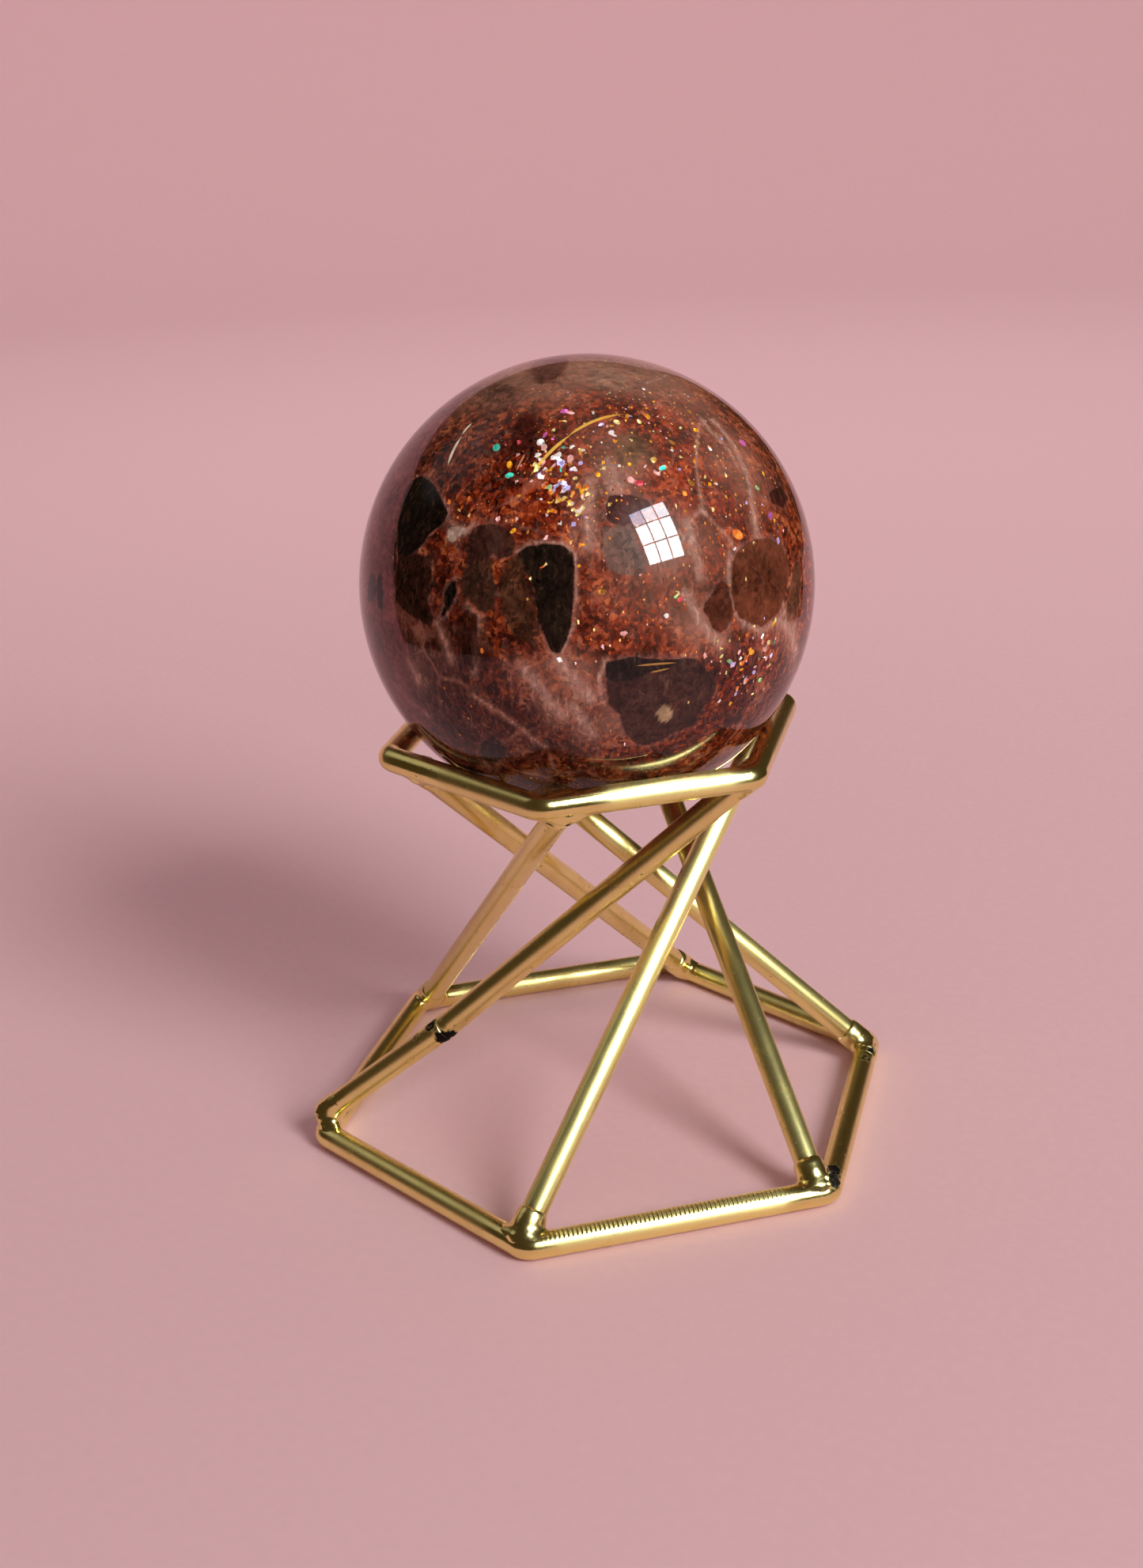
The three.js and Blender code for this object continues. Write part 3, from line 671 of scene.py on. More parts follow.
    # Pale seams between the crystals, about 6 mm apart, the drawn veils and the broad milky places
    seam = add(tree, "ShaderNodeTexVoronoi", {"Vector": shifted, "Scale": 1000 / 6.2},
               feature="DISTANCE_TO_EDGE")
    seam = colour_stops(add(tree, "ShaderNodeValToRGB", {0: seam.outputs[0]}), [(0.0, 0.5), (0.06, 0.0)])
    patchy = colour_stops(add(tree, "ShaderNodeValToRGB", {0: cloud.outputs[0]}), [(0.45, 0.0), (0.68, 1.0)])
    seam = add(tree, "ShaderNodeMath", {0: seam.outputs[0], 1: patchy.outputs[0]}, operation="MULTIPLY")
    silk = add(tree, "ShaderNodeMath", {0: fibre.outputs[0], 1: 0.7, 2: speck.outputs[0]},
               operation="MULTIPLY_ADD")
    drawn = add(tree, "ShaderNodeMath", {0: silk.outputs[0], 1: field["veil"].outputs["Fac"]},
                operation="MULTIPLY")
    milk = add(tree, "ShaderNodeMath", {0: cloud.outputs[0], 1: field["milk"].outputs["Fac"]},
               operation="MULTIPLY")
    milk = add(tree, "ShaderNodeMath", {0: milk.outputs[0], 1: 1.3}, operation="MULTIPLY")
    pale = add(tree, "ShaderNodeMath", {0: seam.outputs[0], 1: drawn.outputs[0]}, operation="MAXIMUM")
    pale = add(tree, "ShaderNodeMath", {0: pale.outputs[0], 1: milk.outputs[0]}, operation="MAXIMUM")
    pale = add(tree, "ShaderNodeMath", {0: pale.outputs[0], 1: wisp.outputs[0]}, operation="ADD",
               use_clamp=True)
    tone = add(tree, "ShaderNodeMix", {0: pale.outputs[0], 6: tone.outputs[2], 7: (*settings.veil, 1.0)},
               data_type="RGBA")
    core = add(tree, "ShaderNodeMapRange", {0: field["veil"].outputs["Fac"], 1: 0.7, 2: 1.0, 4: 0.45}, clamp=True)
    core = add(tree, "ShaderNodeMath", {0: core.outputs[0], 1: silk.outputs[0]}, operation="MULTIPLY")
    tone = add(tree, "ShaderNodeMix", {0: core.outputs[0], 6: tone.outputs[2], 7: "#CDB2A4"}, data_type="RGBA")

    # Clear crystals look dark, with crisp edges, thin pale outlines and needles inside
    ragged = add(tree, "ShaderNodeMath", {0: speck.outputs[0], 1: 0.6, 2: -0.3}, operation="MULTIPLY_ADD")
    edge = add(tree, "ShaderNodeMath", {0: field["window_depth"].outputs["Fac"], 1: ragged.outputs[0]},
               operation="ADD")
    inside = add(tree, "ShaderNodeMapRange", {0: edge.outputs[0], 1: -0.06, 2: 0.12}, clamp=True)
    inside = add(tree, "ShaderNodeMath", {0: inside.outputs[0], 1: field["window_tone"].outputs["Alpha"]},
                 operation="MULTIPLY")
    outline = add(tree, "ShaderNodeMapRange", {0: edge.outputs[0], 1: -0.45, 2: -0.1, 4: 0.4}, clamp=True)
    crisp = add(tree, "ShaderNodeMapRange", {0: field["window_tone"].outputs["Alpha"], 1: 0.86, 2: 1.0}, clamp=True)
    outline = add(tree, "ShaderNodeMath", {0: outline.outputs[0], 1: crisp.outputs[0]}, operation="MULTIPLY")
    outline = add(tree, "ShaderNodeMath", {0: outline.outputs[0], 1: silk.outputs[0]}, operation="MULTIPLY")
    patches = add(tree, "ShaderNodeMapRange", {0: blotch.outputs[0], 1: 0.42, 2: 0.58, 3: 0.25, 4: 1.0}, clamp=True)
    outline = add(tree, "ShaderNodeMath", {0: outline.outputs[0], 1: patches.outputs[0]}, operation="MULTIPLY")
    tone = add(tree, "ShaderNodeMix", {0: outline.outputs[0], 6: tone.outputs[2], 7: "#B8968A"}, data_type="RGBA")
    smoke = add(tree, "ShaderNodeMath", {0: part.outputs[0], 1: 1.7, 2: -1.39}, operation="MULTIPLY_ADD")
    smoke = add(tree, "ShaderNodeMath", {0: cloud.outputs[0], 1: 1.5, 2: smoke.outputs[0]},
                operation="MULTIPLY_ADD")
    clear = add(tree, "ShaderNodeMix", {0: 1.0, 6: field["window_tone"].outputs["Color"],
                                        7: smoke.outputs[0]}, data_type="RGBA", blend_type="MULTIPLY")
    hair = add(tree, "ShaderNodeMath", {0: wisp.outputs[0], 1: 0.65}, operation="MULTIPLY")
    clear = add(tree, "ShaderNodeMix", {0: hair.outputs[0], 6: clear.outputs[2], 7: "#8C6E54"},
                data_type="RGBA")
    tone = add(tree, "ShaderNodeMix", {0: inside.outputs[0], 6: tone.outputs[2], 7: clear.outputs[2]},
               data_type="RGBA")

    # Copper-red flakes: discs of two sizes, more of them where it glows
    metal = None
    tilted = normal
    for width, rare, size, turn in ((settings.glitter, 0.965, 0.42, (0.4, 0.9, 0.2)),
                                    (settings.glitter * 2.1, 0.985, 0.3, (1.2, -0.5, 0.8))):
        lying = add(tree, "ShaderNodeMapping", {"Vector": place, "Rotation": turn, "Scale": (1.0, 1.0, 0.62)})
        glitter = add(tree, "ShaderNodeTexVoronoi", {"Vector": lying.outputs[0], "Scale": 1000 / width},
                      distance="MANHATTAN")
        chance = add(tree, "ShaderNodeSeparateColor", {0: glitter.outputs["Color"]})
        few = add(tree, "ShaderNodeMath", {0: field["ember"].outputs["Fac"], 1: -0.64, 2: rare},
                  operation="MULTIPLY_ADD")
        few = add(tree, "ShaderNodeMath", {0: inside.outputs[0], 1: 0.3, 2: few.outputs[0]},
                  operation="MULTIPLY_ADD")
        chosen = add(tree, "ShaderNodeMath", {0: chance.outputs[1], 1: few.outputs[0]},
                     operation="GREATER_THAN")
        reach = add(tree, "ShaderNodeMath", {0: chance.outputs[0], 1: size * 0.6, 2: size * 0.5},
                    operation="MULTIPLY_ADD")
        disc = add(tree, "ShaderNodeMath", {0: reach.outputs[0], 1: glitter.outputs["Distance"]},
                   operation="SUBTRACT")
        disc = add(tree, "ShaderNodeMapRange", {0: disc.outputs[0], 1: 0.0, 2: 0.08}, clamp=True)
        flake = add(tree, "ShaderNodeMath", {0: chosen.outputs[0], 1: disc.outputs[0]}, operation="MULTIPLY")
        flake_tone = colour_stops(add(tree, "ShaderNodeValToRGB", {0: chance.outputs[2]}), [
            (0.0, "#8E3414"), (0.3, "#BC5420"), (0.52, "#E07E2E"), (0.72, "#EFA640"), (0.86, "#F4D288"),
            (0.95, "#F2C2C4")])
        tone = add(tree, "ShaderNodeMix", {0: flake.outputs[0], 6: tone.outputs[2], 7: flake_tone.outputs[0]},
                   data_type="RGBA")
        tilt = add(tree, "ShaderNodeVectorMath", {0: glitter.outputs["Color"], 1: (0.5,) * 3},
                   operation="SUBTRACT")
        tilt = add(tree, "ShaderNodeVectorMath", {0: tilt.outputs[0], 1: (1.1,) * 3, 2: normal},
                   operation="MULTIPLY_ADD")
        tilted = add(tree, "ShaderNodeMix", {0: flake.outputs[0], 4: tilted, 5: tilt.outputs[0]},
                     data_type="VECTOR").outputs[1]
        share = add(tree, "ShaderNodeMath", {0: flake.outputs[0], 1: 0.15}, operation="MULTIPLY").outputs[0]
        metal = share if metal is None else add(tree, "ShaderNodeMath", {0: metal, 1: share},
                                                operation="MAXIMUM").outputs[0]

    # The larger confetti flakes, with broken edges
    broken = add(tree, "ShaderNodeMath", {0: speck.outputs[0], 1: 0.5, 2: -0.25}, operation="MULTIPLY_ADD")
    spark = add(tree, "ShaderNodeMath", {0: field["spark_depth"].outputs["Fac"], 1: broken.outputs[0]},
                operation="ADD")
    spark = add(tree, "ShaderNodeMapRange", {0: spark.outputs[0], 1: 0.0, 2: 0.05}, clamp=True)
    tone = add(tree, "ShaderNodeMix", {0: spark.outputs[0], 6: tone.outputs[2],
                                       7: field["spark_tone"].outputs["Color"]}, data_type="RGBA")
    tilt = add(tree, "ShaderNodeVectorMath", {0: grain.outputs["Color"], 1: (0.5,) * 3}, operation="SUBTRACT")
    bright_side = tuple(facing(34.8, 26.6))
    lit = add(tree, "ShaderNodeVectorMath", {0: normal, 1: bright_side}, operation="DOT_PRODUCT")
    lit = add(tree, "ShaderNodeMapRange", {0: lit.outputs["Value"], 1: 0.0, 2: 0.35}, clamp=True)
    toward = add(tree, "ShaderNodeMix", {0: lit.outputs[0], 4: normal, 5: bright_side}, data_type="VECTOR")
    spark_normal = add(tree, "ShaderNodeVectorMath", {0: tilt.outputs[0], 1: (1.0,) * 3, 2: toward.outputs[1]},
                       operation="MULTIPLY_ADD")
    matrix_normal = add(tree, "ShaderNodeVectorMath", {0: tilt.outputs[0], 1: (0.4,) * 3, 2: tilted},
                        operation="MULTIPLY_ADD")
    lean = add(tree, "ShaderNodeMix", {0: spark.outputs[0], 4: matrix_normal.outputs[0],
                                       5: spark_normal.outputs[0]}, data_type="VECTOR")
    lean = add(tree, "ShaderNodeVectorMath", {0: lean.outputs[1]}, operation="NORMALIZE")
    metal = add(tree, "ShaderNodeMath", {0: spark.outputs[0], 1: 0.12, 2: metal}, operation="MULTIPLY_ADD",
                use_clamp=True)

    # Painted highlights: bright threads laid into the base colour where crack edges seem to catch the light. Each is
    # where a plane cuts the sphere
    for colour, width, line in PAINTED_GLINT_LINES:
        start, middle, end = facing(*np.array(line).T) * settings.diameter / 2 * MM
        flat = np.cross(middle - start, end - start)
        flat /= np.linalg.norm(flat)
        lean_in = math.sqrt(1 - (flat @ middle / (settings.diameter / 2 * MM)) ** 2)
        centre = STONE_CENTRE * MM
        off = add(tree, "ShaderNodeVectorMath", {0: place, 1: tuple(flat)}, operation="DOT_PRODUCT")
        off = add(tree, "ShaderNodeMath", {0: off.outputs["Value"], 1: float(flat @ (middle + centre))},
                  operation="SUBTRACT")
        off = add(tree, "ShaderNodeMath", {0: off.outputs[0]}, operation="ABSOLUTE")
        along = add(tree, "ShaderNodeVectorMath", {0: place, 1: tuple(middle + centre)}, operation="DISTANCE")
        half = width / 2 * MM * lean_in
        taper = add(tree, "ShaderNodeMapRange",
                    {0: along.outputs["Value"], 1: 0.4 * float(np.linalg.norm(start - middle)),
                     2: 1.12 * float(np.linalg.norm(start - middle)), 3: half, 4: 0.0}, interpolation_type="SMOOTHSTEP")
        painted_glint = add(tree, "ShaderNodeMath", {0: taper.outputs[0], 1: off.outputs[0]}, operation="SUBTRACT")
        painted_glint = add(tree, "ShaderNodeMapRange", {0: painted_glint.outputs[0], 1: 0.0, 2: half * 0.3}, clamp=True)
        tone = add(tree, "ShaderNodeMix", {0: painted_glint.outputs[0], 6: tone.outputs[2], 7: colour},
                   data_type="RGBA")

    tree.links.new(tone.outputs[2], surface.inputs["Base Color"])
    tree.links.new(metal.outputs[0], surface.inputs["Metallic"])
    tree.links.new(lean.outputs[0], surface.inputs["Normal"])
    surface.inputs["Roughness"].default_value = 0.38
    surface.inputs["Specular IOR Level"].default_value = 0.0
    surface.inputs["Subsurface Weight"].default_value = 0.15
    surface.inputs["Subsurface Radius"].default_value = (1.0, 0.4, 0.25)
    surface.inputs["Subsurface Scale"].default_value = 0.8 * MM
    surface.inputs["Coat Weight"].default_value = 1.0
    surface.inputs["Coat Roughness"].default_value = settings.polish
    surface.inputs["Coat IOR"].default_value = 1.34
    return material


class SUNSTONE_OT_sphere(bpy.types.Operator):
    """Builds the polished sphere with its windows, veils and flakes"""

    bl_idname = "sunstone.sphere"
    bl_label = "Polished sphere"

    def execute(self, context):
        settings = context.scene.sunstone_stone
        directions, quads = divided_ball(126)
        points = STONE_CENTRE + directions * settings.diameter / 2
        fields = stone_fields(directions, settings)
        sphere = new_piece("polished_sphere", points, quads.tolist(), fields, sunstone_material(settings))
        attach(sphere, "root")
        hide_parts("sunstone_sphere")
        return {"FINISHED"}


# ---------------------------------------------------------------- the stand


def ring_form(name, settings):
    """A ring's corner radius, height and turn, in millimetres and degrees."""
    base = name == "base_ring"
    height = settings.wire / 2 + (0.0 if base else settings.rise)
    return (settings.base_reach if base else settings.top_reach), height, RING_TURN[name]


def ring_corner(form, corner):
    reach, height, turn = form
    angle = math.radians(360 / CORNERS * corner - 90 + turn)
    return np.array((reach * math.cos(angle), reach * math.sin(angle), height))


def on_bar(form, start, end, distance):
    """A point of the bar between two corners, a distance from the first."""
    first, way = ring_corner(form, start), ring_corner(form, end) - ring_corner(form, start)
    return first + way / np.linalg.norm(way) * distance


def ring_bend(name, corner, settings):
    """The centreline's points round one corner of a ring."""
    reach, height, turn = ring_form(name, settings)
    half = math.pi / CORNERS
    angle = math.radians(360 / CORNERS * corner - 90 + turn)
    centre = reach - settings.bend / math.cos(half)
    outs = angle + half * np.linspace(-1, 1, BEND_STEPS + 1)
    return np.stack([centre * math.cos(angle) + settings.bend * np.cos(outs),
                     centre * math.sin(angle) + settings.bend * np.sin(outs), np.full(len(outs), height)], -1)


def ring_near(name, corner, settings):
    """The centreline from one bar over a corner to the next bar, coarse enough to measure from quickly."""
    before, here, after = (ring_bend(name, corner + step, settings) for step in (-1, 0, 1))
    return np.concatenate([before[-1:], here[::2], after[:1]])


def ring_route(name, settings):
    """The ring's centreline from its joint once round, and how far along it each point is."""
    form = ring_form(name, settings)
    corner, share = RING_JOINT[name]
    bar = np.linalg.norm(ring_corner(form, 1) - ring_corner(form, 0))
    start = on_bar(form, corner, corner + 1, share * bar)[None]
    bends = [ring_bend(name, corner + turned, settings) for turned in range(1, CORNERS + 1)]
    line = np.concatenate([start, *bends, start])
    passed = np.concatenate([[0], np.cumsum(np.linalg.norm(np.diff(line, axis=0), axis=1))])
    whole = passed[-1]
    fine = np.arange(0, 1.6, 0.07)
    stops = np.concatenate([passed, np.arange(0, whole, SECTION_SPACING), fine, whole - fine])
    stops = np.unique(np.round(stops, 3))
    stops = stops[np.concatenate([[True], np.diff(stops) > 0.03])]
    route = np.stack([np.interp(stops, passed, line[:, axis]) for axis in range(3)], -1)
    return route, stops, whole


def swept(route, radii, sides, closed):
    """A round tube along a route: its points, faces and the turn of each point round the wire."""
    if closed:
        way = np.roll(route, -1, 0) - np.roll(route, 1, 0)
    else:
        way = np.gradient(route, axis=0)
    way /= np.linalg.norm(way, axis=1)[:, None]
    side = np.cross(way, (0.0, 0.0, 1.0))
    side /= np.linalg.norm(side, axis=1)[:, None]
    up = np.cross(side, way)
    angles = np.linspace(0, 2 * math.pi, sides, endpoint=False)
    rim = np.cos(angles)[None, :, None] * side[:, None] + np.sin(angles)[None, :, None] * up[:, None]
    points = (route[:, None] + rim * np.asarray(radii)[:, None, None]).reshape(-1, 3)
    count = len(route)
    last = count if closed else count - 1
    faces = []
    for section in range(last):
        here, there = section * sides, (section + 1) % count * sides
        for k in range(sides):
            n = (k + 1) % sides
            faces.append((here + k, there + k, there + n, here + n))
    if not closed:
        faces.append(tuple(range(sides)))
        faces.append(tuple((count - 1) * sides + k for k in range(sides))[::-1])
    return points, faces, np.tile(np.stack([np.cos(angles), np.sin(angles)], -1), (count, 1))


def leg_line(number, settings):
    """A leg's centreline from the base ring to the top ring, bent a little where it is spliced."""
    foot_corner = number - LEG_CORNERS_ROUND
    along_top, along_base, foot_rise = LEG_WELDS[number]
    foot = on_bar(ring_form("base_ring", settings), foot_corner, foot_corner - 1, along_base)
    head = on_bar(ring_form("top_ring", settings), number, number + 1, along_top)
    if number == SPLICED_LEG:
        foot[2] += SPLICED_FOOT_RISE
        return np.array([foot, SPLICE, head])
    foot[2] += foot_rise
    return np.array([foot, head])


def bareness(points):
    """How far the plating is scorched or bare at each point."""
    bare = np.zeros(len(points))
    for centre, reach, strength in BARE_SPOTS:
        away = np.linalg.norm(points - np.array(centre), axis=1) / reach
        bare = np.maximum(bare, strength * np.clip(1.6 - away, 0, 1))
    return bare


def wire_fields(points, settings, along, around):
    """Where the wire is weld metal, where its plating is bare and where the rollers marked it."""
    ends = np.array([end for number in range(CORNERS) for end in leg_line(number, settings)[[0, -1]]])
    nearest = np.full(len(points), np.inf)
    for end in ends:
        nearest = np.minimum(nearest, np.linalg.norm(points - end, axis=1))
    base = ring_form("base_ring", settings)
    from_bar = distance_to_line(points, np.array([ring_corner(base, 0), ring_corner(base, 1)]))
    rolled = np.clip((1.6 - from_bar) / 0.1, 0, 1) * np.clip((around[:, 1] - 0.72) / 0.1, 0, 1)
    return {"weld": np.clip((4.8 - nearest) / 2.4, 0, 1), "bare": bareness(points), "rolled": rolled,
            "along_mm": along, "around_x": around[:, 0], "around_y": around[:, 1]}


def smooth_lumps(points, size, seed):
    """A gentle wave in all directions, from -1 to 1, with lumps of about the given size."""
    draw = np.random.default_rng(seed)
    total = np.zeros(len(points))
    for _ in range(6):
        way = draw.normal(size=3)
        way *= math.pi / size / np.linalg.norm(way)
        total += np.sin(points @ way + draw.uniform(0, 2 * math.pi))
    return total / 3.5


def weld_metal(end, leg_way, ring_line, bell, past, fillet, lumpiness, seed, wire):
    """A function that is negative inside the metal which joins a leg to a ring, and ends just past it."""
    distances, radii = np.array(bell).T
    sooty = any(np.linalg.norm(np.array(centre) - end) < 5.0 for centre, _, _ in BARE_SPOTS)

    def solid(points):
        out = points - end
        away = np.linalg.norm(out, axis=1)
        along = out @ leg_way
        leg = np.linalg.norm(out - along[:, None] * leg_way, axis=1) - np.interp(along, distances, radii)
        leg = np.maximum(leg, -along - past)
        distance, off = away_from_line(points, ring_line)
        facing_leg = np.clip((off @ leg_way) / (wire / 2) * 1.6 + 0.5, 0, 1)
        sink = np.interp(away, (0.0, 2.0, 4.6), (0.03, 0.012, -0.12)) * facing_leg - 0.12 * (1 - facing_leg)
        ring = distance - wire / 2 - sink
        near = np.clip(fillet - np.abs(leg - ring), 0, None) / fillet
        joined = np.minimum(leg, ring) - near ** 2 * fillet / 4 * facing_leg
        joined -= lumpiness * smooth_lumps(points, 0.9, seed) * np.clip(3.2 - away, 0, 1) * facing_leg
        if sooty:
            crumbs = 0.6 + smooth_lumps(points, 0.42, seed + 1)
            joined -= 0.16 * bareness(points) * crumbs * np.clip(4.0 - away, 0, 1)
        joined = np.maximum(joined, away - WELD_REACH)
        return np.maximum(joined, -points[:, 2])

    return solid


def skin_of(solid, centre, reach, cell):
    """Points and quads of the surface where the function is zero, inside a cube round the centre."""
    count = int(math.ceil(2 * reach / cell)) + 1
    axis = (np.arange(count) - (count - 1) / 2) * cell
    grid = np.stack(np.meshgrid(axis, axis, axis, indexing="ij"), -1).reshape(-1, 3) + centre
    inside = (solid(grid) < 0).reshape(count, count, count)
    filled = sum(inside[i:count - 1 + i, j:count - 1 + j, k:count - 1 + k].astype(int)
                 for i in (0, 1) for j in (0, 1) for k in (0, 1))
    mixed = (filled > 0) & (filled < 8)
    number = np.full(mixed.shape, -1)
    number[mixed] = np.arange(mixed.sum())
    points = centre + axis[0] + (np.argwhere(mixed) + 0.5) * cell
    faces = []
    for way in range(3):
        low = np.take(inside, range(count - 1), way)
        high = np.take(inside, range(1, count), way)
        at = np.argwhere(low != high)
        one, two = np.eye(3, dtype=int)[(way + 1) % 3], np.eye(3, dtype=int)[(way + 2) % 3]
        quad = np.stack([number[tuple((at - step).T)] for step in (0 * one, one, one + two, two)], -1)
        outward = low[tuple(at.T)]
        faces.append(np.where(outward[:, None], quad, quad[:, ::-1]))
    h = cell * 0.1
    for _ in range(7):
        value = solid(points)
        slope = np.stack([solid(points + h * e) - solid(points - h * e) for e in np.eye(3)], -1) / (2 * h)
        step = slope * (value / np.maximum((slope ** 2).sum(1), 0.2))[:, None]
        points -= np.clip(step, -cell * 0.5, cell * 0.5)
    return points, np.concatenate(faces)


def plated_wire_material(settings):
    """Gold-plated brass wire: drawn, bent, brazed and then bright plated.

    Drawing leaves fine lines along the wire, and the bending rolls leave faint marks across it every half
    millimetre. The plating is thin, so it is bare and dark where a weld was scorched.
    """
    material, tree, surface = new_material("bright gold plated drawn wire")
    place = add(tree, "ShaderNodeTexCoord").outputs["Object"]
    field = {name: add(tree, "ShaderNodeAttribute", attribute_name=name).outputs["Fac"]
             for name in ("along_mm", "around_x", "around_y", "weld", "bare", "rolled")}
    wire_only = add(tree, "ShaderNodeMath", {0: 1.0, 1: field["weld"]}, operation="SUBTRACT").outputs[0]

    patch = add(tree, "ShaderNodeTexNoise", {"Vector": place, "Scale": 1000 / 3.0, "Detail": 4.0})
    warm = colour_stops(add(tree, "ShaderNodeValToRGB", {0: patch.outputs[0]}), [(0.4, 0.0), (0.7, 0.3)])
    tone = add(tree, "ShaderNodeMix", {0: warm.outputs[0], 6: (*settings.gold, 1.0), 7: "#E3C36A"},
               data_type="RGBA")

    # Specks where dust stayed under the plating, about 0.15 mm wide
    dust = add(tree, "ShaderNodeTexVoronoi", {"Vector": place, "Scale": 1000 / 0.7})
    rare = add(tree, "ShaderNodeSeparateColor", {0: dust.outputs["Color"]})
    rare = add(tree, "ShaderNodeMath", {0: rare.outputs[0], 1: 0.93}, operation="GREATER_THAN")
    small = add(tree, "ShaderNodeMath", {0: dust.outputs["Distance"], 1: 0.16}, operation="LESS_THAN")
    dust = add(tree, "ShaderNodeMath", {0: rare.outputs[0], 1: small.outputs[0]}, operation="MULTIPLY")
    ragged = add(tree, "ShaderNodeTexNoise", {"Vector": place, "Scale": 1000 / 0.5, "Detail": 4.0})
    burnt = add(tree, "ShaderNodeMath", {0: ragged.outputs[0], 1: 0.9, 2: -0.45}, operation="MULTIPLY_ADD")
    burnt = add(tree, "ShaderNodeMath", {0: burnt.outputs[0], 1: field["bare"]}, operation="ADD")
    burnt = add(tree, "ShaderNodeMapRange", {0: burnt.outputs[0], 1: 0.58, 2: 0.8}, clamp=True)
    dust = add(tree, "ShaderNodeMath", {0: dust.outputs[0], 1: 0.6}, operation="MULTIPLY")
    dull = add(tree, "ShaderNodeMath", {0: burnt.outputs[0], 1: dust.outputs[0]}, operation="MAXIMUM")
    tone = add(tree, "ShaderNodeMix", {0: dull.outputs[0], 6: tone.outputs[2], 7: "#1A1209"},
               data_type="RGBA")

    # Drawing lines 0.2 mm apart, drawn coarser than the real 0.02 mm so that they show
    slow = add(tree, "ShaderNodeMath", {0: field["along_mm"], 1: 0.012}, operation="MULTIPLY")
    rolled = add(tree, "ShaderNodeCombineXYZ", {0: field["around_x"], 1: field["around_y"],
                                                2: slow.outputs[0]})
    lines = add(tree, "ShaderNodeTexNoise", {"Vector": rolled.outputs[0], "Scale": 6.0, "Detail": 3.0})
    lines = add(tree, "ShaderNodeMath", {0: lines.outputs[0], 1: wire_only}, operation="MULTIPLY")
    lines = add(tree, "ShaderNodeMath", {0: lines.outputs[0], 1: 7e-6}, operation="MULTIPLY")

    # Roller marks across one bar of the base ring every 0.5 mm, 5 microns deep, of uneven strength
    wave = add(tree, "ShaderNodeMath", {0: field["along_mm"], 1: 2 * math.pi / 0.5}, operation="MULTIPLY")
    wave = add(tree, "ShaderNodeMath", {0: wave.outputs[0]}, operation="SINE")
    wave = add(tree, "ShaderNodeMath", {0: wave.outputs[0], 1: field["rolled"]}, operation="MULTIPLY")
    wave = add(tree, "ShaderNodeMath", {0: wave.outputs[0], 1: patch.outputs[0]}, operation="MULTIPLY")
    wave = add(tree, "ShaderNodeMath", {0: wave.outputs[0], 1: wire_only}, operation="MULTIPLY")
    height = add(tree, "ShaderNodeMath", {0: wave.outputs[0], 1: 3.6e-5, 2: lines.outputs[0]},
                 operation="MULTIPLY_ADD")
    # Weld metal froze with a slightly wrinkled skin
    skin = add(tree, "ShaderNodeTexNoise", {"Vector": place, "Scale": 1000 / 0.9, "Detail": 2.0})
    skin = add(tree, "ShaderNodeMath", {0: skin.outputs[0], 1: field["weld"]}, operation="MULTIPLY")
    height = add(tree, "ShaderNodeMath", {0: skin.outputs[0], 1: 3e-5, 2: height.outputs[0]},
                 operation="MULTIPLY_ADD")
    bump = add(tree, "ShaderNodeBump", {"Strength": 1.0, "Distance": 1.0, "Height": height.outputs[0]})

    rough = add(tree, "ShaderNodeMapRange", {0: patch.outputs[0], 1: 0.3, 2: 0.7,
                                             3: settings.shine * 0.92, 4: settings.shine * 1.08}, clamp=True)
    rough = add(tree, "ShaderNodeMix", {0: field["weld"], 2: rough.outputs[0], 3: 0.18}, data_type="FLOAT")
    rough = add(tree, "ShaderNodeMix", {0: dull.outputs[0], 2: rough.outputs[0], 3: 0.65}, data_type="FLOAT")
    # Lines along the wire spread a highlight round it and hardly at all along it. Weld metal has none.
    spread = add(tree, "ShaderNodeMath", {0: wire_only, 1: 0.82}, operation="MULTIPLY")
    tree.links.new(spread.outputs[0], surface.inputs["Anisotropic"])
    round_wire = add(tree, "ShaderNodeTangent", direction_type="UV_MAP", uv_map="drawn")
    tree.links.new(round_wire.outputs[0], surface.inputs["Tangent"])
    metal = add(tree, "ShaderNodeMath", {0: dull.outputs[0], 1: -0.3, 2: 1.0}, operation="MULTIPLY_ADD")
    tree.links.new(tone.outputs[2], surface.inputs["Base Color"])
    tree.links.new(metal.outputs[0], surface.inputs["Metallic"])
    tree.links.new(rough.outputs[0], surface.inputs["Roughness"])
    tree.links.new(bump.outputs[0], surface.inputs["Normal"])
    return material


def wire_material(settings):
    found = bpy.data.materials.get("bright gold plated drawn wire")
    return found or plated_wire_material(settings)


class SUNSTONE_OT_rings(bpy.types.Operator):
    """Builds the two bent wire rings, each closed by a butt weld"""

    bl_idname = "sunstone.rings"
    bl_label = "Bent rings"

    def execute(self, context):
        settings = context.scene.sunstone_wire
        for name in ("base_ring", "top_ring"):
            route, stops, whole = ring_route(name, settings)
            route, stops = route[:-1], stops[:-1]
            off = np.minimum(stops, whole - stops)
            bead = np.exp(-((off / 0.75) ** 4))
            radii = settings.wire / 2 + 0.08 * bead - 0.17 * np.exp(-((off / 0.1) ** 2))
            route[:, 2] += 0.085 * bead
            points, faces, around = swept(route, radii, RING_SIDES, True)
            fields = wire_fields(points, settings, np.repeat(stops, RING_SIDES), around)
            ring = new_piece(f"bent_{name}", points, faces, fields, wire_material(settings))
            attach(ring, "root")
            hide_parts(name)
        return {"FINISHED"}


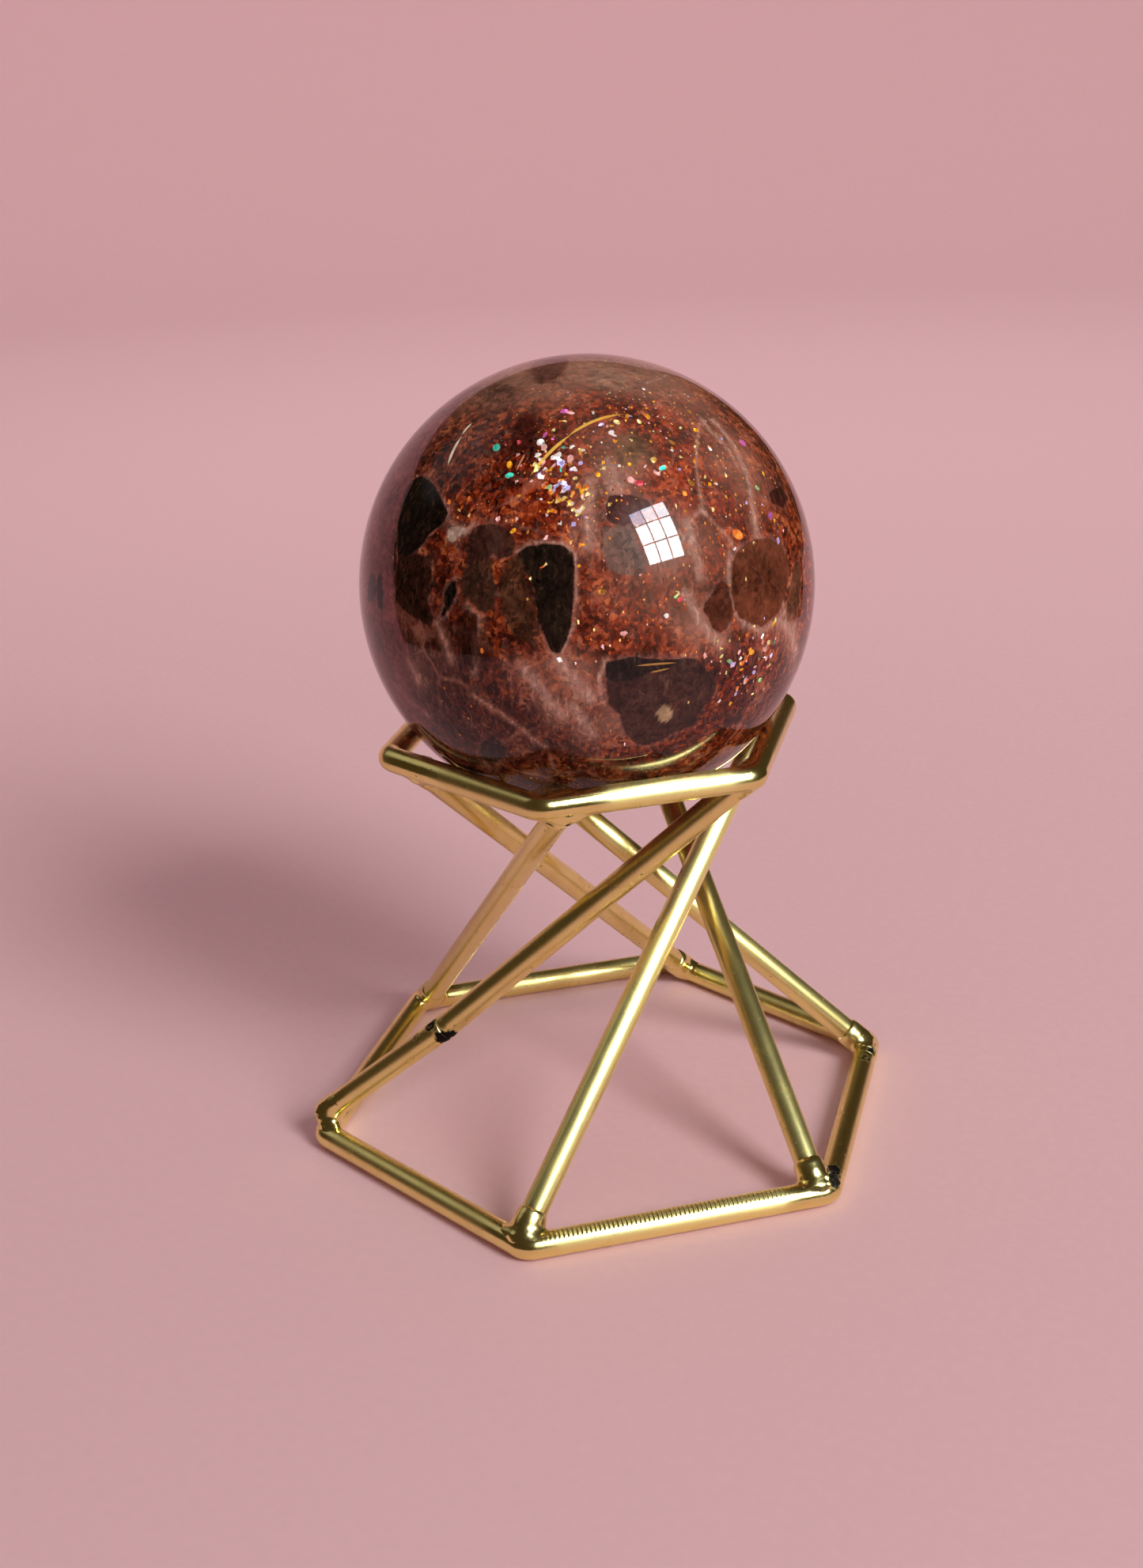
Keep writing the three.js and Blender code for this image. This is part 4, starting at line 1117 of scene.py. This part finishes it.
class SUNSTONE_OT_legs(bpy.types.Operator):
    """Builds the six straight legs with the weld metal at both of their ends"""

    bl_idname = "sunstone.legs"
    bl_label = "Welded legs"

    def execute(self, context):
        settings = context.scene.sunstone_wire
        for number in range(CORNERS):
            line = leg_line(number, settings)
            passed = np.concatenate([[0], np.cumsum(np.linalg.norm(np.diff(line, axis=0), axis=1))])
            length = passed[-1] - (NECK if number == NECKED_HEAD else 0)
            stops = np.linspace(0, length, int(length / SECTION_SPACING))
            radii = np.full(len(stops), settings.wire / 2)
            if number == SPLICED_LEG:
                stops = np.unique(np.concatenate([stops, passed[1] + np.arange(-1.4, 1.4, 0.06)]))
                off = stops - passed[1]
                radii = settings.wire / 2 + 0.06 * np.exp(-((off / 0.8) ** 4)) - 0.15 * np.exp(-((off / 0.11) ** 2))
            route = np.stack([np.interp(stops, passed, line[:, axis]) for axis in range(3)], -1)
            points, faces, around = swept(route, radii, LEG_SIDES, False)
            fields = wire_fields(points, settings, np.repeat(stops, LEG_SIDES), around)
            foot_weld = (ROUND_BELL, 1.75, WIDE_FILLET, 0.03) if number == SPLICED_LEG else (
                FOOT_BELL, 0.3, WELD_FILLET, 0.055)
            head_weld = (NECKED_BELL, 0.3, WIDE_FILLET, 0.1) if number == NECKED_HEAD else (
                TOP_BELL, 0.3, WELD_FILLET, 0.06)
            base_near = ring_near("base_ring", number - LEG_CORNERS_ROUND, settings)
            top_near = ring_near("top_ring", number, settings)
            for end, inner, near, (bell, past, fillet, lumps) in ((line[0], line[1], base_near, foot_weld),
                                                                  (line[-1], line[-2], top_near, head_weld)):
                way = (inner - end) / np.linalg.norm(inner - end)
                solid = weld_metal(end, way, near, bell, past, fillet, lumps, 11 + number, settings.wire)
                skin, quads = skin_of(solid, end, WELD_REACH + 0.4, WELD_CELL)
                faces += [tuple(q) for q in (quads + len(points)).tolist()]
                side = np.cross(way, (0.0, 0.0, 1.0))
                side /= np.linalg.norm(side)
                turned = np.stack([(skin - end) @ side, (skin - end) @ np.cross(side, way)], -1)
                turned /= np.linalg.norm(turned, axis=1)[:, None]
                more = wire_fields(skin, settings, (skin - end) @ way, turned)
                points = np.concatenate([points, skin])
                fields = {k: np.concatenate([fields[k], more[k]]) for k in fields}
            leg = new_piece(f"welded_leg_{number + 1}", points, faces, fields, wire_material(settings))
            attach(leg, "root")
            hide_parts(f"leg_{number + 1}")
        return {"FINISHED"}


# ---------------------------------------------------------------- the studio


def paper_material(settings):
    """Matt photographic paper: no shine, and a tooth so fine that it only softens the surface."""
    material, tree, surface = new_material("matt background paper")
    place = add(tree, "ShaderNodeTexCoord").outputs["Object"]
    tooth = add(tree, "ShaderNodeTexNoise", {"Vector": place, "Scale": 1000 / 1.2, "Detail": 3.0})
    shade = add(tree, "ShaderNodeMapRange", {0: tooth.outputs[0], 1: 0.3, 2: 0.7, 3: 0.0, 4: 0.07}, clamp=True)
    tone = add(tree, "ShaderNodeMix", {0: shade.outputs[0], 6: (*settings.floor, 1.0), 7: "#B99A93"},
               data_type="RGBA")
    tree.links.new(tone.outputs[2], surface.inputs["Base Color"])
    surface.inputs["Roughness"].default_value = 0.95
    surface.inputs["Specular IOR Level"].default_value = 0.2
    return material


def lamp(name, place, aim, size, radiance, colour, mirrored=True):
    """A rectangular lamp of the given radiance that faces a point."""
    data = bpy.data.lights.new(name, "AREA")
    data.shape = "RECTANGLE"
    data.size, data.size_y = size
    data.color = colour
    data.energy = radiance * size[0] * size[1] * math.pi
    made = bpy.data.objects.new(name, data)
    made.location = place
    made.rotation_euler = (Vector(aim) - Vector(place)).to_track_quat("-Z", "Y").to_euler()
    made.visible_glossy = mirrored
    bpy.context.scene.collection.objects.link(made)
    return made


class SUNSTONE_OT_stage(bpy.types.Operator):
    """Builds the paper dish, the window light, the fill lights and the camera"""

    bl_idname = "sunstone.stage"
    bl_label = "Studio stage"

    def execute(self, context):
        settings = context.scene.sunstone_stage
        scene = context.scene
        self.paper(settings)
        self.window(settings)
        lamp("backdrop_wash", (-0.1, 0.3, 0.55), (-0.35, 1.0, 0.0), (0.8, 0.3), 2.2, (1.0, 0.97, 0.96), False)
        scene.world = self.room(settings)
        scene.view_settings.view_transform = "Standard"
        self.camera(settings, scene)
        return {"FINISHED"}

    def paper(self, settings):
        """A floor that curves up all round, so that no view shows a horizon.

        The polish mirrors the floor near the object and the rise behind it, and a dim room elsewhere.
        """
        wall = [(0.7 + 0.5 * math.sin(turn), 0.5 - 0.5 * math.cos(turn))
                for turn in np.linspace(0, math.pi / 2, 13)]
        material = paper_material(settings)
        rise = [(0.2, 0.0), (0.45, 0.0)] + wall
        sheets = {"paper_floor": ([(0.0001, 0.0), (0.2, 0.0)], "whole"), "paper_behind": (rise, "behind"),
                  "paper_before": (rise, "before"), "paper_wall": ([wall[-1], (1.2, 1.0)], "whole")}
        for name, (outline, part) in sheets.items():
            points = []
            for reach, height in outline:
                seen = math.degrees(math.atan2(height - STONE_CENTRE[2] * MM, reach))
                first = np.interp(seen, (-19, -8, -5, 0, 8), (52, 59, 74, 84, 94))
                last = np.interp(seen, (-19, -15, -8, 0, 6, 12, 20), (187, 184, 179, 175.5, 171, 165, 158))
                behind, before = np.linspace(first, last, 33), np.linspace(last, first + 360, 65)
                turns = {"behind": behind, "before": before, "whole": np.concatenate([before[:-1], behind[:-1]])}
                points += [(reach * math.cos(turn) / MM, reach * math.sin(turn) / MM, height / MM)
                           for turn in np.radians(turns[part])]
            sides = len(points) // len(outline)
            last_side = sides if part == "whole" else sides - 1
            faces = [(row * sides + k, (row + 1) * sides + k, (row + 1) * sides + (k + 1) % sides,
                      row * sides + (k + 1) % sides)
                     for row in range(len(outline) - 1) for k in range(last_side)]
            if name == "paper_floor":
                faces.append(tuple(range(sides)))
            sheet = new_piece(name, points, faces, {}, material)
            sheet.visible_glossy = name in ("paper_floor", "paper_behind")

    def room(self, settings):
        """Soft light from all round. The polish mirrors a dim room that is brighter round the window."""
        world = bpy.data.worlds.new("dim room")
        world.use_nodes = True
        tree = world.node_tree
        way = add(tree, "ShaderNodeTexCoord").outputs["Generated"]
        total = 0.0
        for (x, y, z), width, strength in ROOM_GLOWS:
            near = add(tree, "ShaderNodeVectorMath", {0: way, 1: (x, y, z)}, operation="DOT_PRODUCT")
            glow = add(tree, "ShaderNodeMapRange", {0: near.outputs["Value"], 1: math.cos(math.radians(width)),
                                                    2: 1.0, 3: 0.0, 4: strength}, interpolation_type="SMOOTHSTEP")
            total = add(tree, "ShaderNodeMath", {0: glow.outputs[0], 1: total}, operation="ADD").outputs[0]
        pale = np.array((1.0, 0.95, 0.93))
        room = add(tree, "ShaderNodeVectorMath", {0: total, 1: tuple(pale), 2: tuple(
            np.array((1.0, 0.66, 0.32)) * settings.room)}, operation="MULTIPLY_ADD")
        mirrored = add(tree, "ShaderNodeLightPath").outputs["Is Glossy Ray"]
        colour = add(tree, "ShaderNodeMix", {0: mirrored, 6: (*(pale * settings.ambient), 1.0), 7: room.outputs[0]},
                     data_type="RGBA")
        tree.links.new(colour.outputs[2], tree.nodes["Background"].inputs["Color"])
        return world

    def window(self, settings):
        """Nine panes of daylight, seen as the window that the polish mirrors."""
        centre = Vector(STONE_CENTRE * MM)
        way = Vector((0.699, -0.444, 0.561)).normalized()
        across = Vector((0, 0, 1)).cross(way).normalized()
        up = way.cross(across)
        middle = centre + way * 0.55
        columns, rows = (0.333, 0.333, 0.334), (0.27, 0.355, 0.375)
        width, height, bar = 0.184, 0.247, 0.0055
        top = height / 2
        for r, row in enumerate(rows):
            left = -width / 2
            for c, column in enumerate(columns):
                place = middle + across * (left + column * width / 2) + up * (top - row * height / 2)
                dim = ((0.45, 0.7, 0.8) if r == 0 else (1.0, 1.0, 1.0))[c]
                colour = ((0.6, 0.74, 1.0) if c == 0 else (0.86, 0.91, 1.0)) if r == 0 else (0.9, 0.96, 1.0)
                pane = lamp(f"pane_{r}_{c}", place, place - way,
                            (column * width - bar, row * height - bar), settings.daylight * dim, colour)
                pane.rotation_euler = Matrix((across, up, way)).transposed().to_euler()
                pane.visible_diffuse = False
                left += column * width
            top -= row * height
        lamp("daylight", centre + way * 1.1, centre, (2 * width, 2 * height), settings.daylight * 0.315,
             (1.0, 0.99, 0.97), False)

    def camera(self, settings, scene):
        azimuth, elevation, roll = settings.azimuth, settings.elevation, settings.roll
        back = Vector((math.sin(azimuth) * math.cos(elevation), -math.cos(azimuth) * math.cos(elevation),
                       math.sin(elevation)))
        level = Vector((math.cos(azimuth), math.sin(azimuth), 0))
        above = back.cross(level)
        right = level * math.cos(roll) + above * math.sin(roll)
        up = above * math.cos(roll) - level * math.sin(roll)
        data = bpy.data.cameras.new("photograph_view")
        data.lens = settings.lens
        data.sensor_width = 36.0
        data.clip_start, data.clip_end = 0.01, 10.0
        made = bpy.data.objects.new("photograph_view", data)
        made.matrix_world = Matrix.Translation(
            level * -0.0026 + Vector((0, 0, 0.041225)) + back * settings.distance
        ) @ Matrix((right, up, back)).transposed().to_4x4()
        scene.collection.objects.link(made)
        scene.camera = made


class SUNSTONE_PT_panel(bpy.types.Panel):
    """Lists the sizes and colours, and what builds each part"""

    bl_label = "Sunstone sphere"
    bl_idname = "SUNSTONE_PT_panel"
    bl_space_type = "VIEW_3D"
    bl_region_type = "UI"
    bl_category = "Sunstone"

    def draw(self, context):
        for group, operators in (("sunstone_stone", ("sunstone.sphere",)),
                                 ("sunstone_wire", ("sunstone.rings", "sunstone.legs")),
                                 ("sunstone_stage", ("sunstone.stage",))):
            box = self.layout.box()
            settings = getattr(context.scene, group)
            for name in settings.__annotations__:
                box.prop(settings, name)
            for operator in operators:
                box.operator(operator)


CLASSES = (StoneSettings, WireSettings, StageSettings, SUNSTONE_OT_sphere, SUNSTONE_OT_rings,
           SUNSTONE_OT_legs, SUNSTONE_OT_stage, SUNSTONE_PT_panel)
GROUPS = {"sunstone_stone": StoneSettings, "sunstone_wire": WireSettings, "sunstone_stage": StageSettings}


def register():
    for made in CLASSES:
        bpy.utils.register_class(made)
    for name, group in GROUPS.items():
        setattr(bpy.types.Scene, name, bpy.props.PointerProperty(type=group))


def unregister():
    for name in GROUPS:
        delattr(bpy.types.Scene, name)
    for made in reversed(CLASSES):
        bpy.utils.unregister_class(made)


def main():
    register()
    bpy.ops.sunstone.stage()
    bpy.ops.sunstone.rings()
    bpy.ops.sunstone.legs()
    bpy.ops.sunstone.sphere()


if __name__ == "__main__":
    main()
